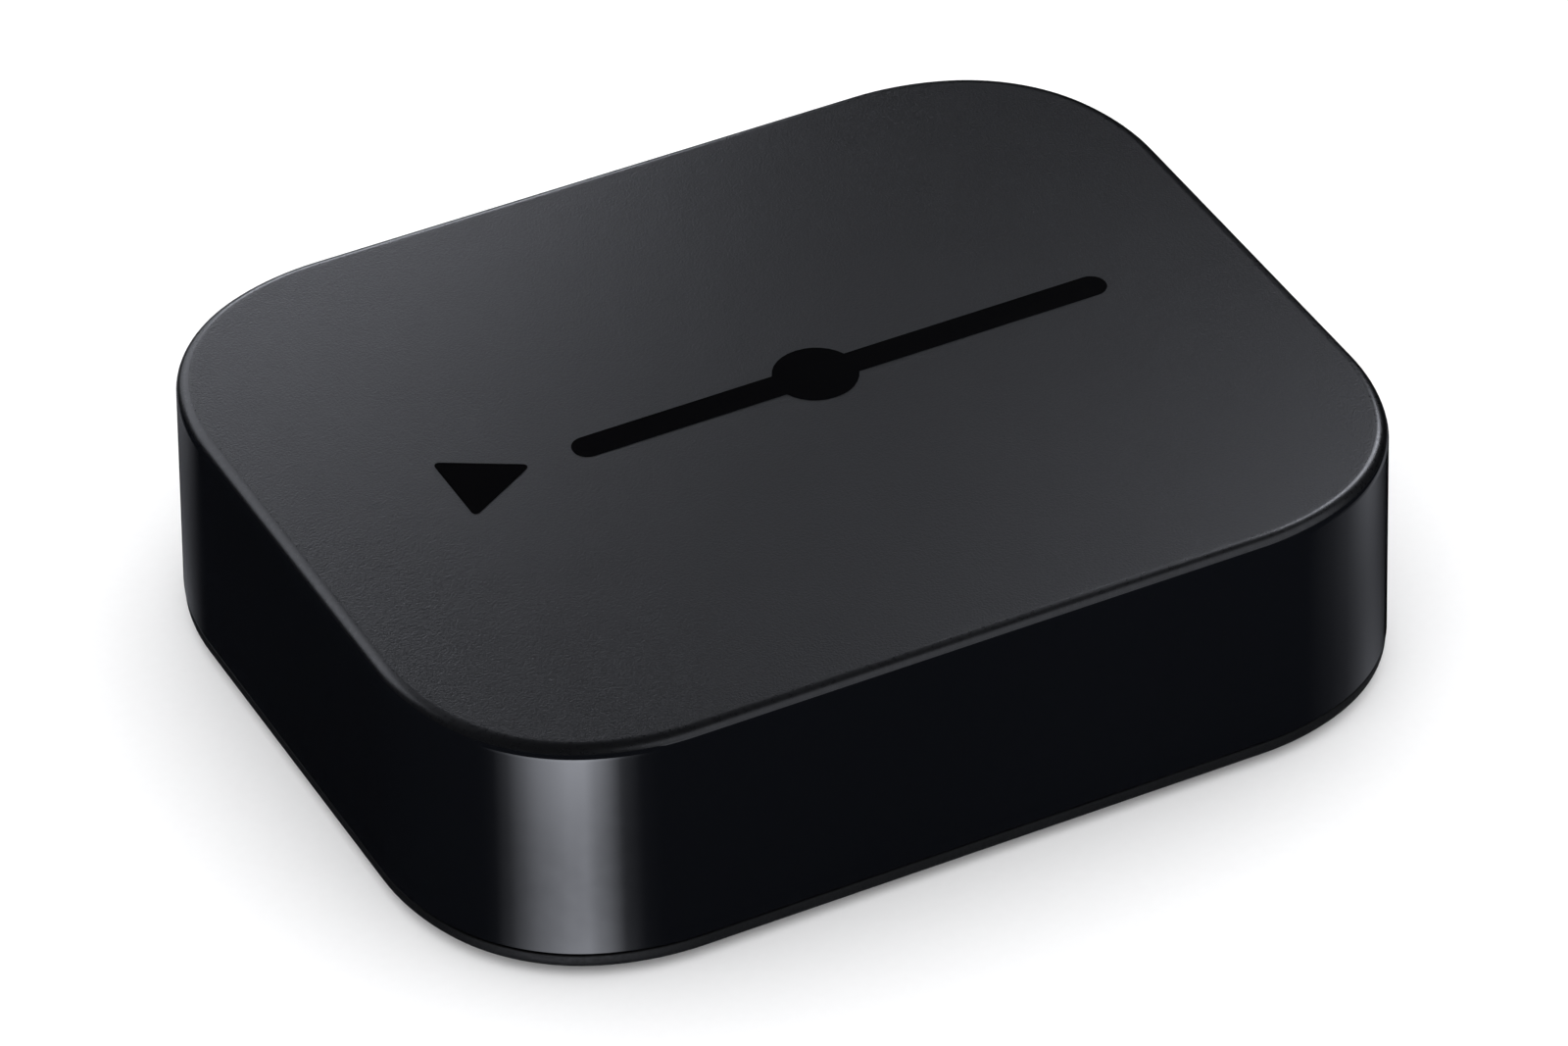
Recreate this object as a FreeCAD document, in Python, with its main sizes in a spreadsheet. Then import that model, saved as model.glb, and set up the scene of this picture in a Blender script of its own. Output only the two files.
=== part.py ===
import FreeCAD, Part
import math
import os

import Sketcher

from FreeCAD import Vector

# A small streaming media player: a rounded black box with its sockets in the rear wall.
# Frame: X along the length, -Y to the front, +Y to the rear with the sockets, +Z up.
# The origin is under the middle of the box, on the surface that the feet stand on.

# Driving dimensions, in millimetres and degrees: alias, value, meaning.
SIZES = (
    # Casing
    ("case_length", 62.6, "outline at the foot of the side wall, along X"),
    ("case_width", 50.4, "outline at the foot of the side wall, along Y"),
    ("case_height", 15.45, "underside of the bottom cover to the top face"),
    ("corner_end_radius", 15.56, "first and last arc of each corner of the outline"),
    ("corner_middle_radius", 11.76, "middle arc of each corner of the outline"),
    ("corner_end_angle", 22.5, "turn of the first and last arc of each corner"),
    ("draft_angle", 1.2, "lean of the side wall"),
    ("top_edge_radius", 0.8, "rounding between side wall and top"),
    ("wall_thickness", 1.9, "side wall at its foot"),
    ("top_thickness", 1.8, "top wall"),
    ("port_clearance", 0.2, "gap round a socket in its opening in the rear wall"),
    # Bottom cover
    ("rim_height", 1.08, "edge of the bottom cover that shows under the side wall"),
    ("rim_inset", 0.05, "step from the side wall in to the rim"),
    ("parting_gap", 0.1, "gap between rim and side wall"),
    ("bottom_edge_radius", 0.7, "rounding of the rim's lower edge"),
    ("cover_thickness", 1.6, "plate of the bottom cover"),
    ("lip_height", 1.8, "locating lip above the rim"),
    ("lip_thickness", 1.1, "locating lip"),
    ("lip_clearance", 0.15, "gap between lip and side wall"),
    ("vent_length", 10.0, "cooling slot, along Y"),
    ("vent_width", 1.2, "cooling slot, along X"),
    ("vent_pitch", 3.2, "from one cooling slot to the next"),
    ("vent_count", 8, "cooling slots in the row"),
    ("vent_centre_y", 9.0, "middle of the row of cooling slots"),
    # Screws, posts and feet
    ("screw_inset_x", 7.8, "screw axis in from the end of the case"),
    ("screw_inset_y", 7.7, "screw axis in from the side of the case"),
    ("post_height", 1.9, "board above the cover's plate"),
    ("post_diameter", 5.6, "posts of the cover and bosses of the top case"),
    ("screw_diameter", 2.0, "thread of the case screws"),
    ("screw_length", 8.0, "case screw under its head"),
    ("screw_clearance", 0.3, "extra diameter of the holes that a screw passes through"),
    ("thread_bite", 0.4, "how much smaller a boss's hole is than its screw"),
    ("head_diameter", 3.8, "head of a case screw"),
    ("head_height", 1.3, "head of a case screw"),
    ("head_clearance", 0.4, "extra diameter of the counterbore"),
    ("head_depth", 0.1, "head above the foot under it"),
    ("foot_diameter", 8.0, "rubber foot"),
    ("foot_clearance", 0.2, "extra diameter of the foot's recess"),
    ("foot_thickness", 1.0, "rubber foot"),
    ("foot_proud", 0.5, "how far a foot stands out of the cover"),
    ("foot_edge_radius", 0.25, "rounding of a foot's lower edge"),
    # Label and emblem
    ("label_length", 30.0, "blank rating label, along X"),
    ("label_width", 12.0, "blank rating label, along Y"),
    ("label_thickness", 0.1, "label"),
    ("label_recess", 0.15, "depth of the label's recess"),
    ("label_margin", 0.3, "recess past each edge of the label"),
    ("label_centre_y", -10.0, "middle of the label"),
    ("emblem_length", 42.0, "printed emblem, along X"),
    ("emblem_height", 5.7, "printed emblem, along Y"),
    ("emblem_x", 0.75, "middle of the emblem"),
    ("emblem_y", 0.9, "middle of the emblem"),
    ("emblem_gap", 2.6, "between the play triangle and the bar"),
    ("bar_height", 1.9, "progress bar of the emblem"),
    ("knob_diameter", 5.0, "round knob on the progress bar"),
    ("knob_share", 0.45, "place of the knob along the bar"),
    ("ink_thickness", 0.03, "printed ink"),
    # Main board
    ("board_clearance", 0.6, "gap between board and side wall"),
    ("board_thickness", 1.0, "circuit board"),
    ("notch_width", 5.0, "notch in the board's edge behind the reset button"),
    ("notch_depth", 0.8, "the same notch, from the board's edge"),
    ("shield_length", 30.0, "shield frame, along X"),
    ("shield_width", 22.0, "shield frame, along Y"),
    ("shield_height", 2.0, "shield frame above the board"),
    ("shield_wall", 0.3, "sheet metal of the frame and its cover"),
    ("shield_x", -1.0, "middle of the shield"),
    ("shield_y", -1.0, "middle of the shield"),
    ("processor_side", 13.0, "processor chip"),
    ("processor_height", 1.2, "processor chip"),
    ("processor_x", 5.5, "middle of the processor chip"),
    ("memory_length", 10.0, "memory chip, along X"),
    ("memory_width", 14.5, "memory chip, along Y"),
    ("memory_height", 1.0, "memory chip"),
    ("memory_offset", 7.5, "memory chip, left of the shield's middle"),
    ("flash_length", 11.5, "flash chip, along X"),
    ("flash_width", 13.0, "flash chip, along Y"),
    ("flash_height", 1.0, "flash chip"),
    ("flash_gap", 0.45, "between the shield and the flash chip"),
    ("flash_y", -2.0, "middle of the flash chip"),
    ("power_chip_side", 4.0, "power chip"),
    ("power_chip_height", 0.9, "power chip"),
    ("crystal_length", 3.2, "crystal, along X"),
    ("crystal_width", 2.5, "crystal, along Y"),
    ("crystal_height", 0.7, "crystal"),
    ("inductor_side", 3.0, "inductor"),
    ("inductor_height", 1.5, "inductor"),
    ("bulk_length", 3.5, "bulk capacitor, along X"),
    ("bulk_width", 2.8, "bulk capacitor, along Y"),
    ("bulk_height", 1.9, "bulk capacitor"),
    ("capacitor_length", 1.6, "chip capacitor, along X"),
    ("capacitor_side", 0.8, "chip capacitor, along Y and up"),
    ("capacitor_pitch", 3.0, "from one chip capacitor to the next"),
    ("capacitor_inset", 1.8, "row of chip capacitors in from the shield's edge"),
    ("pad_margin", 1.0, "processor past each edge of its thermal pad"),
    ("upper_pad_thickness", 0.8, "thermal pad between shield cover and heat sink"),
    # Heat sink
    ("sink_length", 38.0, "heat sink, along X"),
    ("sink_width", 24.0, "heat sink, along Y"),
    ("sink_plate", 1.4, "base plate of the heat sink"),
    ("fin_thickness", 0.9, "heat sink fin"),
    ("fin_count", 7, "heat sink fins"),
    ("fin_gap_above", 0.9, "air between the fins and the top wall"),
    ("standoff_diameter", 3.0, "threaded standoff on the board"),
    ("standoff_inset", 2.0, "standoff axis in from the heat sink's edges"),
    ("sink_screw_diameter", 1.6, "thread of the heat sink screws"),
    ("sink_screw_length", 3.0, "heat sink screw under its head"),
    ("sink_head_diameter", 2.8, "head of a heat sink screw"),
    ("sink_head_height", 0.9, "head of a heat sink screw"),
    # Audio-video socket
    ("av_x", -8.5, "middle of the audio-video socket"),
    ("av_width", 15.0, "shell across"),
    ("av_height", 5.6, "shell above the board"),
    ("av_depth", 11.8, "shell from its mouth"),
    ("av_chamfer", 2.0, "slanted lower corner of the shell"),
    ("av_shell", 0.45, "sheet metal of the shell"),
    ("av_tongue_width", 12.0, "contact tongue"),
    ("av_tongue_height", 1.4, "contact tongue"),
    ("av_block_depth", 4.0, "insulator behind the tongue"),
    ("av_contact_pitch", 1.0, "from contact to contact"),
    ("av_contact_width", 0.4, "contact"),
    # Power socket
    ("power_x", 8.5, "middle of the power socket"),
    ("power_width", 8.94, "shell across"),
    ("power_height", 3.26, "shell above the board"),
    ("power_depth", 7.3, "shell from its mouth"),
    ("power_shell", 0.3, "sheet metal of the shell"),
    ("power_tongue_width", 6.7, "contact tongue"),
    ("power_tongue_height", 0.7, "contact tongue"),
    ("power_block_depth", 2.4, "insulator behind the tongue"),
    ("power_contact_pitch", 0.5, "from contact to contact"),
    ("power_contact_width", 0.26, "contact"),
    ("contact_thickness", 0.08, "contact strips on both tongues"),
    ("insert_clearance", 0.03, "gap between an insulator and its shell"),
    ("tongue_recess", 1.0, "tongue's tip behind the socket's mouth"),
    ("mouth_recess", 0.5, "socket's mouth behind the foot of the rear wall's face"),
    # Reset button and its switch
    ("button_x", 16.5, "axis of the reset button"),
    ("button_diameter", 2.1, "pin of the reset button"),
    ("button_clearance", 0.15, "gap round the pin"),
    ("button_travel", 0.25, "inward travel"),
    ("button_recess", 0.3, "pin's end behind the foot of the rear wall's face"),
    ("button_play", 0.05, "gap between the flange and the wall at rest"),
    ("flange_diameter", 3.4, "flange that keeps the pin in"),
    ("flange_thickness", 0.6, "the same flange"),
    ("switch_width", 4.6, "switch housing, along X"),
    ("switch_depth", 3.0, "switch housing, along Y"),
    ("switch_height", 1.6, "switch housing above the board"),
    ("switch_sheet", 0.15, "sheet metal cover of the switch"),
    ("chamber_width", 2.8, "chamber in the switch housing"),
    ("chamber_height", 1.2, "chamber in the switch housing"),
    ("chamber_depth", 2.0, "chamber in the switch housing"),
    ("dome_slack", 0.05, "height left in the snap dome at full travel"),
    ("dome_thickness", 0.08, "snap dome"),
    ("plunger_width", 1.4, "stem of the plunger"),
    ("plunger_height", 0.8, "stem of the plunger"),
    ("plunger_slack", 0.02, "gaps of the plunger in its chamber"),
    ("stem_length", 0.85, "stem past the switch's cover"),
    # Status light
    ("light_x", 1.5, "axis of the light pipe"),
    ("light_drop", 1.95, "light pipe's outlet below the ceiling"),
    ("light_inset", 6.2, "status LED in from the rear wall's face"),
    ("light_diameter", 1.8, "light pipe"),
    ("light_bend", 2.2, "bend radius of the light pipe"),
    ("light_clearance", 0.1, "gap round the light pipe in the wall"),
    ("led_side", 1.6, "status LED"),
    ("led_height", 0.6, "status LED"),
    # Radio
    ("radio_side", 12.0, "radio module"),
    ("radio_x", 20.5, "middle of the radio module"),
    ("radio_y", -7.0, "middle of the radio module"),
    ("radio_board_height", 0.8, "radio module's own board"),
    ("radio_cover_height", 1.4, "radio module's sheet metal cover"),
    ("plug_strip", 3.4, "front strip of the radio module, left open for its connectors"),
    ("plug_diameter", 2.2, "antenna connector"),
    ("plug_height", 1.2, "antenna connector"),
    ("antenna_length", 22.0, "flexible antenna, along Y"),
    ("antenna_height", 6.0, "flexible antenna, along Z"),
    ("antenna_thickness", 0.2, "flexible antenna with its adhesive"),
    ("antenna_drop", 1.55, "antenna below the ceiling"),
    ("lead_diameter", 1.13, "coaxial antenna lead"),
)

# Places worked out from the driving dimensions.
HALF_X = "(Sizes.case_length / 2)"
HALF_Y = "(Sizes.case_width / 2)"
INNER_X = f"({HALF_X} - Sizes.wall_thickness)"
INNER_Y = f"({HALF_Y} - Sizes.wall_thickness)"
COVER_BOTTOM = "Sizes.foot_proud"
RIM_TOP = f"({COVER_BOTTOM} + Sizes.rim_height)"
COVER_FLOOR = f"({COVER_BOTTOM} + Sizes.cover_thickness)"
WALL_BOTTOM = f"({RIM_TOP} + Sizes.parting_gap)"
CASE_TOP = f"({COVER_BOTTOM} + Sizes.case_height)"
CEILING = f"({CASE_TOP} - Sizes.top_thickness)"
BOARD_BOTTOM = f"({COVER_FLOOR} + Sizes.post_height)"
BOARD_TOP = f"({BOARD_BOTTOM} + Sizes.board_thickness)"
SCREW_X = f"({HALF_X} - Sizes.screw_inset_x)"
SCREW_Y = f"({HALF_Y} - Sizes.screw_inset_y)"
FOOT_SEAT = f"({COVER_BOTTOM} + Sizes.foot_thickness - Sizes.foot_proud)"
HEAD_SEAT = f"({FOOT_SEAT} + Sizes.head_depth + Sizes.head_height)"
SHIELD_TOP = f"({BOARD_TOP} + Sizes.shield_height)"
SHIELD_COVER_TOP = f"({SHIELD_TOP} + Sizes.shield_wall)"
SINK_BOTTOM = f"({SHIELD_COVER_TOP} + Sizes.upper_pad_thickness)"
SINK_TOP = f"({SINK_BOTTOM} + Sizes.sink_plate)"
STANDOFF_X = "(Sizes.sink_length / 2 - Sizes.standoff_inset)"
STANDOFF_Y = "(Sizes.sink_width / 2 - Sizes.standoff_inset)"
PORT_MOUTH_Y = f"({HALF_Y} - Sizes.mouth_recess)"
BUTTON_Z = f"({BOARD_TOP} + Sizes.switch_height / 2)"
FLANGE_Y = f"({INNER_Y} - Sizes.button_play)"
STEM_Y = f"({FLANGE_Y} - Sizes.flange_thickness)"
SWITCH_Y = f"({STEM_Y} - Sizes.stem_length - Sizes.switch_sheet - Sizes.switch_depth)"
CHAMBER_Y = "(Sizes.switch_depth - Sizes.chamber_depth)"
LIGHT_Z = f"({CEILING} - Sizes.light_drop)"
LIGHT_Y = f"({HALF_Y} - Sizes.light_inset)"
RADIO_BOARD_TOP = f"({BOARD_TOP} + Sizes.radio_board_height)"
PLUG_Y = "(Sizes.radio_y - Sizes.radio_side / 2 + Sizes.plug_strip / 2)"
PLUG_X = "(Sizes.radio_side / 4)"
LEAD_Z = f"({RADIO_BOARD_TOP} + Sizes.plug_height / 2)"

# Parts soldered to the main board outside the shield: middles of their plans.
INDUCTOR_PLACES = ((13.6, 13.6), (18.0, 13.6), (21.6, 9.8))
BULK_PLACES = ((22.0, 5.4), (22.0, 1.6))
CRYSTAL_PLACE = (-19.5, 9.5)
POWER_CHIP_Y = 13.6
SQUARE_CHIPS = {"processor": "Sizes.processor_side", "power": "Sizes.power_chip_side"}
CAPACITORS_IN_ROW = 8

# The four corners of the case, as signs along X and Y.
CORNERS = {"front_left": (-1, -1), "front_right": (1, -1), "rear_left": (-1, 1), "rear_right": (1, 1)}

doc = FreeCAD.newDocument("media_player")
sheet = doc.addObject("Spreadsheet::Sheet", "Sizes")
nodes = []


def fill_sheet():
    for row, (alias, size, meaning) in enumerate(SIZES, start=1):
        sheet.set(f"A{row}", alias)
        sheet.set(f"B{row}", str(size))
        sheet.set(f"C{row}", meaning)
        sheet.setAlias(f"B{row}", alias)
    doc.recompute()


def number(expression):
    """Return what an expression comes to now."""
    result = sheet.evalExpression(str(expression))
    return float(getattr(result, "Value", result))


def keep(piece):
    """List a finished piece as a node of its own."""
    nodes.append(piece)
    return piece


def place(piece, x="0", y="0", z="0"):
    """Bind a piece's place to expressions."""
    for axis, expression in zip("xyz", (x, y, z)):
        piece.setExpression(f".Placement.Base.{axis}", str(expression))
    return piece


def add_block(name, size, centre, bottom):
    """Add a block from its size (x, y, z), the middle of its plan (x, y) and its underside."""
    block = doc.addObject("Part::Box", name)
    block.Label = name
    for side, expression in zip(("Length", "Width", "Height"), size):
        block.setExpression(side, str(expression))
    x, y = (f"({middle}) - ({side}) / 2" for middle, side in zip(centre, size))
    return place(block, x, y, bottom)


def add_disc(name, diameter, height, centre, bottom):
    """Add an upright cylinder."""
    disc = doc.addObject("Part::Cylinder", name)
    disc.Label = name
    disc.setExpression("Radius", f"({diameter}) / 2")
    disc.setExpression("Height", str(height))
    return place(disc, centre[0], centre[1], bottom)


def add_group(name, pieces):
    """Join like pieces, each its own solid, in one node."""
    group = doc.addObject("Part::Compound", name)
    group.Label = name
    group.Links = pieces
    return group


def add_body(name):
    body = doc.addObject("PartDesign::Body", name)
    body.Label = name
    return body


def add_sketch(body, name, plane="XY_Plane", offset="0"):
    """Add a sketch on one of the body's own origin planes, moved along the plane's normal."""
    sketch = body.newObject("Sketcher::SketchObject", f"{body.Name}_{name}_sketch")
    support = next(part for part in body.Origin.OriginFeatures if part.Role == plane)
    sketch.AttachmentSupport = [(support, "")]
    sketch.MapMode = "FlatFace"
    sketch.setExpression(".AttachmentOffset.Base.z", str(offset))
    return sketch


def bind(sketch, constraint, expression):
    """Add a dimension to a sketch and bind it to an expression."""
    index = sketch.addConstraint(Sketcher.Constraint(*constraint, number(expression)))
    sketch.renameConstraint(index, f"size_{index}")
    sketch.setExpression(f"Constraints.size_{index}", str(expression))


def add_polygon(sketch, corners):
    """Draw a closed polygon through corners given as pairs of expressions."""
    points = [Vector(number(x), number(y), 0) for x, y in corners]
    first = sketch.GeometryCount
    count = len(points)
    for index, point in enumerate(points):
        sketch.addGeometry(Part.LineSegment(point, points[(index + 1) % count]))
    for index, (x, y) in enumerate(corners):
        line = first + index
        following = first + (index + 1) % count
        sketch.addConstraint(Sketcher.Constraint("Coincident", line, 2, following, 1))
        bind(sketch, ("DistanceX", -1, 1, line, 1), x)
        bind(sketch, ("DistanceY", -1, 1, line, 1), y)


def add_rectangle(sketch, x, y, width, height):
    """Draw a rectangle round the point x, y."""
    left, right = (f"({x}) {sign} ({width}) / 2" for sign in "-+")
    low, high = (f"({y}) {sign} ({height}) / 2" for sign in "-+")
    add_polygon(sketch, ((left, low), (right, low), (right, high), (left, high)))


def add_circle(sketch, x, y, diameter):
    centre = Vector(number(x), number(y), 0)
    circle = sketch.addGeometry(Part.Circle(centre, Vector(0, 0, 1), number(diameter) / 2))
    bind(sketch, ("DistanceX", -1, 1, circle, 3), x)
    bind(sketch, ("DistanceY", -1, 1, circle, 3), y)
    bind(sketch, ("Diameter", circle), diameter)


def add_arc(sketch, centre, radius, start, end):
    """Draw an arc that turns anticlockwise between two angles in radians."""
    circle = Part.Circle(Vector(*centre, 0), Vector(0, 0, 1), radius)
    return sketch.addGeometry(Part.ArcOfCircle(circle, start, end))


def add_stadium(sketch, x, y, width, height):
    """Draw a bar with round ends round the point x, y."""
    reach = f"(({width}) - ({height})) / 2"
    radius = number(height) / 2
    middle = number(y)
    left, right = (number(f"({x}) {sign} {reach}") for sign in "-+")
    first = sketch.GeometryCount
    low = middle - radius
    high = middle + radius
    sketch.addGeometry(Part.LineSegment(Vector(left, low, 0), Vector(right, low, 0)))
    add_arc(sketch, (right, middle), radius, -math.pi / 2, math.pi / 2)
    sketch.addGeometry(Part.LineSegment(Vector(right, high, 0), Vector(left, high, 0)))
    add_arc(sketch, (left, middle), radius, math.pi / 2, 1.5 * math.pi)
    for step in range(4):
        joint = (first + step, 2, first + (step + 1) % 4, 1)
        sketch.addConstraint(Sketcher.Constraint("Tangent", *joint))
    for arc, sign in ((first + 1, "+"), (first + 3, "-")):
        bind(sketch, ("DistanceX", -1, 1, arc, 3), f"({x}) {sign} {reach}")
        bind(sketch, ("DistanceY", -1, 1, arc, 3), y)
    bind(sketch, ("Radius", first + 1), f"({height}) / 2")
    sketch.addConstraint(Sketcher.Constraint("Equal", first + 1, first + 3))


def add_outline(sketch, inset="0"):
    """Draw the case's outline, moved in by inset: four sides, with three arcs at each corner."""
    half_x = number(f"{HALF_X} - ({inset})")
    half_y = number(f"{HALF_Y} - ({inset})")
    end_radius = number(f"Sizes.corner_end_radius - ({inset})")
    middle_radius = number(f"Sizes.corner_middle_radius - ({inset})")
    turn = math.radians(number("Sizes.corner_end_angle"))
    step = end_radius - middle_radius
    middle_in = end_radius - step * math.cos(turn)
    extent = middle_in + step * math.sin(turn)
    for quadrant, (sign_x, sign_y) in enumerate(((1, 1), (-1, 1), (-1, -1), (1, -1))):
        on_end = (sign_x * (half_x - end_radius), sign_y * (half_y - extent))
        on_side = (sign_x * (half_x - extent), sign_y * (half_y - end_radius))
        middle = (sign_x * (half_x - middle_in), sign_y * (half_y - middle_in))
        start = quadrant * math.pi / 2
        if quadrant % 2 == 0:
            x = sign_x * half_x
            y = sign_y * (half_y - extent)
            line = Part.LineSegment(Vector(x, -y, 0), Vector(x, y, 0))
            centres = (on_end, middle, on_side)
        else:
            x = sign_x * (half_x - extent)
            y = sign_y * half_y
            line = Part.LineSegment(Vector(-x, y, 0), Vector(x, y, 0))
            centres = (on_side, middle, on_end)
        sketch.addGeometry(line)
        add_arc(sketch, centres[0], end_radius, start, start + turn)
        add_arc(sketch, centres[1], middle_radius, start + turn, start + math.pi / 2 - turn)
        add_arc(sketch, centres[2], end_radius, start + math.pi / 2 - turn, start + math.pi / 2)
    for edge in range(16):
        sketch.addConstraint(Sketcher.Constraint("Tangent", edge, 2, (edge + 1) % 16, 1))
    for quadrant in range(4):
        line = 4 * quadrant
        sketch.addConstraint(Sketcher.Constraint("Horizontal" if quadrant % 2 else "Vertical", line))
        for arc in (line + 1, line + 3):
            bind(sketch, ("Angle", arc), "Sizes.corner_end_angle")
            if arc > 1:
                sketch.addConstraint(Sketcher.Constraint("Equal", 1, arc))
        if line:
            sketch.addConstraint(Sketcher.Constraint("Equal", 2, line + 2))
    bind(sketch, ("Radius", 1), f"Sizes.corner_end_radius - ({inset})")
    bind(sketch, ("Radius", 2), f"Sizes.corner_middle_radius - ({inset})")
    sketch.addConstraint(Sketcher.Constraint("Symmetric", 0, 1, 8, 1, -1, 1))
    bind(sketch, ("DistanceX", 8, 1, 0, 1), f"Sizes.case_length - 2 * ({inset})")
    bind(sketch, ("DistanceY", 12, 1, 4, 1), f"Sizes.case_width - 2 * ({inset})")


def add_feature(body, kind, name, sketch, length, backwards=False, taper=None):
    """Add a Pad or Pocket. A Pocket goes against its sketch's normal unless backwards."""
    feature = body.newObject(f"PartDesign::{kind}", f"{body.Name}_{name}")
    feature.Profile = sketch
    feature.Reversed = backwards
    feature.setExpression("Length", str(length))
    if taper:
        feature.setExpression("TaperAngle", taper)
    body.Tip = feature
    return feature


def add_pad(body, name, sketch, length, backwards=False, taper=None):
    return add_feature(body, "Pad", name, sketch, length, backwards, taper)


def add_pocket(body, name, sketch, length, backwards=False):
    """Cut a pocket, and check that it takes material away."""
    doc.recompute()
    before = body.Shape.Volume
    feature = add_feature(body, "Pocket", name, sketch, length, backwards)
    doc.recompute()
    if body.Shape.Volume >= before - 1e-6:
        raise RuntimeError(f"{feature.Name} cuts nothing")
    return feature


def add_fillet(body, name, radius, level):
    """Round the edges that lie flat at a height in the body."""
    doc.recompute()
    base = body.Tip
    height = number(level)
    edges = []
    for index, edge in enumerate(base.Shape.Edges, start=1):
        heights = [vertex.Z for vertex in edge.Vertexes] + [edge.BoundBox.ZMin, edge.BoundBox.ZMax]
        if all(abs(z - height) < 0.01 for z in heights):
            edges.append(f"Edge{index}")
    fillet = body.newObject("PartDesign::Fillet", f"{body.Name}_{name}")
    fillet.Base = (base, edges)
    fillet.setExpression("Radius", str(radius))
    body.Tip = fillet


def add_row(body, feature, sketch, spread, count):
    """Repeat a feature along the X axis of its sketch."""
    pattern = body.newObject("PartDesign::LinearPattern", f"{feature.Name}_row")
    pattern.Originals = [feature]
    pattern.Direction = (sketch, ["H_Axis"])
    pattern.setExpression("Length", str(spread))
    pattern.setExpression("Occurrences", str(count))
    body.Tip = pattern


def add_corner_circles(sketch, diameter):
    for sign_x, sign_y in CORNERS.values():
        add_circle(sketch, f"{sign_x} * {SCREW_X}", f"{sign_y} * {SCREW_Y}", diameter)


# Case


def make_top_case():
    body = add_body("top_case")
    outline = add_sketch(body, "outline", offset=WALL_BOTTOM)
    add_outline(outline)
    add_pad(body, "shell", outline, f"{CASE_TOP} - {WALL_BOTTOM}", taper="-Sizes.draft_angle")
    add_fillet(body, "top_edge", "Sizes.top_edge_radius", CASE_TOP)
    inside = add_sketch(body, "inside", offset=WALL_BOTTOM)
    add_outline(inside, "Sizes.wall_thickness")
    add_pocket(body, "cavity", inside, f"{CEILING} - {WALL_BOTTOM}", backwards=True)
    bosses = add_sketch(body, "bosses", offset=BOARD_TOP)
    add_corner_circles(bosses, "Sizes.post_diameter")
    add_pad(body, "bosses", bosses, f"{CEILING} - {BOARD_TOP}")
    holes = add_sketch(body, "boss_holes", offset=BOARD_TOP)
    add_corner_circles(holes, "Sizes.screw_diameter - Sizes.thread_bite")
    bite = f"Sizes.screw_length - ({BOARD_TOP} - {HEAD_SEAT})"
    add_pocket(body, "boss_holes", holes, f"{bite} + Sizes.screw_diameter / 2", backwards=True)
    # Openings in the rear wall: the sketch faces the front, so each cut runs forwards from it.
    rear = f"-{HALF_Y}"
    through = "Sizes.wall_thickness + Sizes.lip_thickness / 2"
    gap = "2 * Sizes.port_clearance"
    av_port = add_sketch(body, "av_port", "XZ_Plane", rear)
    add_av_profile(av_port, "-Sizes.port_clearance", "Sizes.av_x", BOARD_TOP)
    add_pocket(body, "av_port", av_port, through, backwards=True)
    power_port = add_sketch(body, "power_port", "XZ_Plane", rear)
    power_z = f"{BOARD_TOP} + Sizes.power_height / 2"
    power_size = (f"Sizes.power_width + {gap}", f"Sizes.power_height + {gap}")
    add_stadium(power_port, "Sizes.power_x", power_z, *power_size)
    add_pocket(body, "power_port", power_port, through, backwards=True)
    round_holes = add_sketch(body, "round_holes", "XZ_Plane", rear)
    for kind, level in (("button", BUTTON_Z), ("light", LIGHT_Z)):
        width = f"Sizes.{kind}_diameter + 2 * Sizes.{kind}_clearance"
        add_circle(round_holes, f"Sizes.{kind}_x", level, width)
    add_pocket(body, "round_holes", round_holes, through, backwards=True)
    keep(body)


def make_bottom_cover():
    body = add_body("bottom_cover")
    rim = add_sketch(body, "rim", offset=COVER_BOTTOM)
    add_outline(rim, "Sizes.rim_inset")
    add_pad(body, "rim", rim, "Sizes.rim_height")
    add_fillet(body, "lower_edge", "Sizes.bottom_edge_radius", COVER_BOTTOM)
    lip = add_sketch(body, "lip", offset=RIM_TOP)
    lip_inset = "Sizes.wall_thickness + Sizes.lip_clearance"
    add_outline(lip, lip_inset)
    add_pad(body, "lip", lip, "Sizes.lip_height")
    tray = add_sketch(body, "tray", offset=COVER_FLOOR)
    add_outline(tray, f"{lip_inset} + Sizes.lip_thickness")
    add_pocket(body, "tray", tray, f"{RIM_TOP} + Sizes.lip_height - {COVER_FLOOR}", backwards=True)
    posts = add_sketch(body, "posts", offset=COVER_FLOOR)
    add_corner_circles(posts, "Sizes.post_diameter")
    add_pad(body, "posts", posts, "Sizes.post_height")
    cuts = (
        ("screw_holes", "Sizes.screw_diameter + Sizes.screw_clearance", BOARD_BOTTOM),
        ("counterbores", "Sizes.head_diameter + Sizes.head_clearance", HEAD_SEAT),
        ("foot_recesses", "Sizes.foot_diameter + Sizes.foot_clearance", FOOT_SEAT),
    )
    for name, diameter, end in cuts:
        sketch = add_sketch(body, name, offset=COVER_BOTTOM)
        add_corner_circles(sketch, diameter)
        add_pocket(body, name, sketch, f"{end} - {COVER_BOTTOM}", backwards=True)
    recess = add_sketch(body, "label_recess", offset=COVER_BOTTOM)
    margin = "2 * Sizes.label_margin"
    size = (f"Sizes.label_length + {margin}", f"Sizes.label_width + {margin}")
    add_rectangle(recess, "0", "Sizes.label_centre_y", *size)
    add_pocket(body, "label_recess", recess, "Sizes.label_recess", backwards=True)
    vent = add_sketch(body, "vent", offset=COVER_BOTTOM)
    spread = "Sizes.vent_pitch * (Sizes.vent_count - 1)"
    add_rectangle(vent, f"-{spread} / 2", "Sizes.vent_centre_y", "Sizes.vent_width", "Sizes.vent_length")
    slot = add_pocket(body, "vent", vent, "Sizes.cover_thickness", backwards=True)
    add_row(body, slot, vent, spread, "Sizes.vent_count")
    keep(body)


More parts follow.
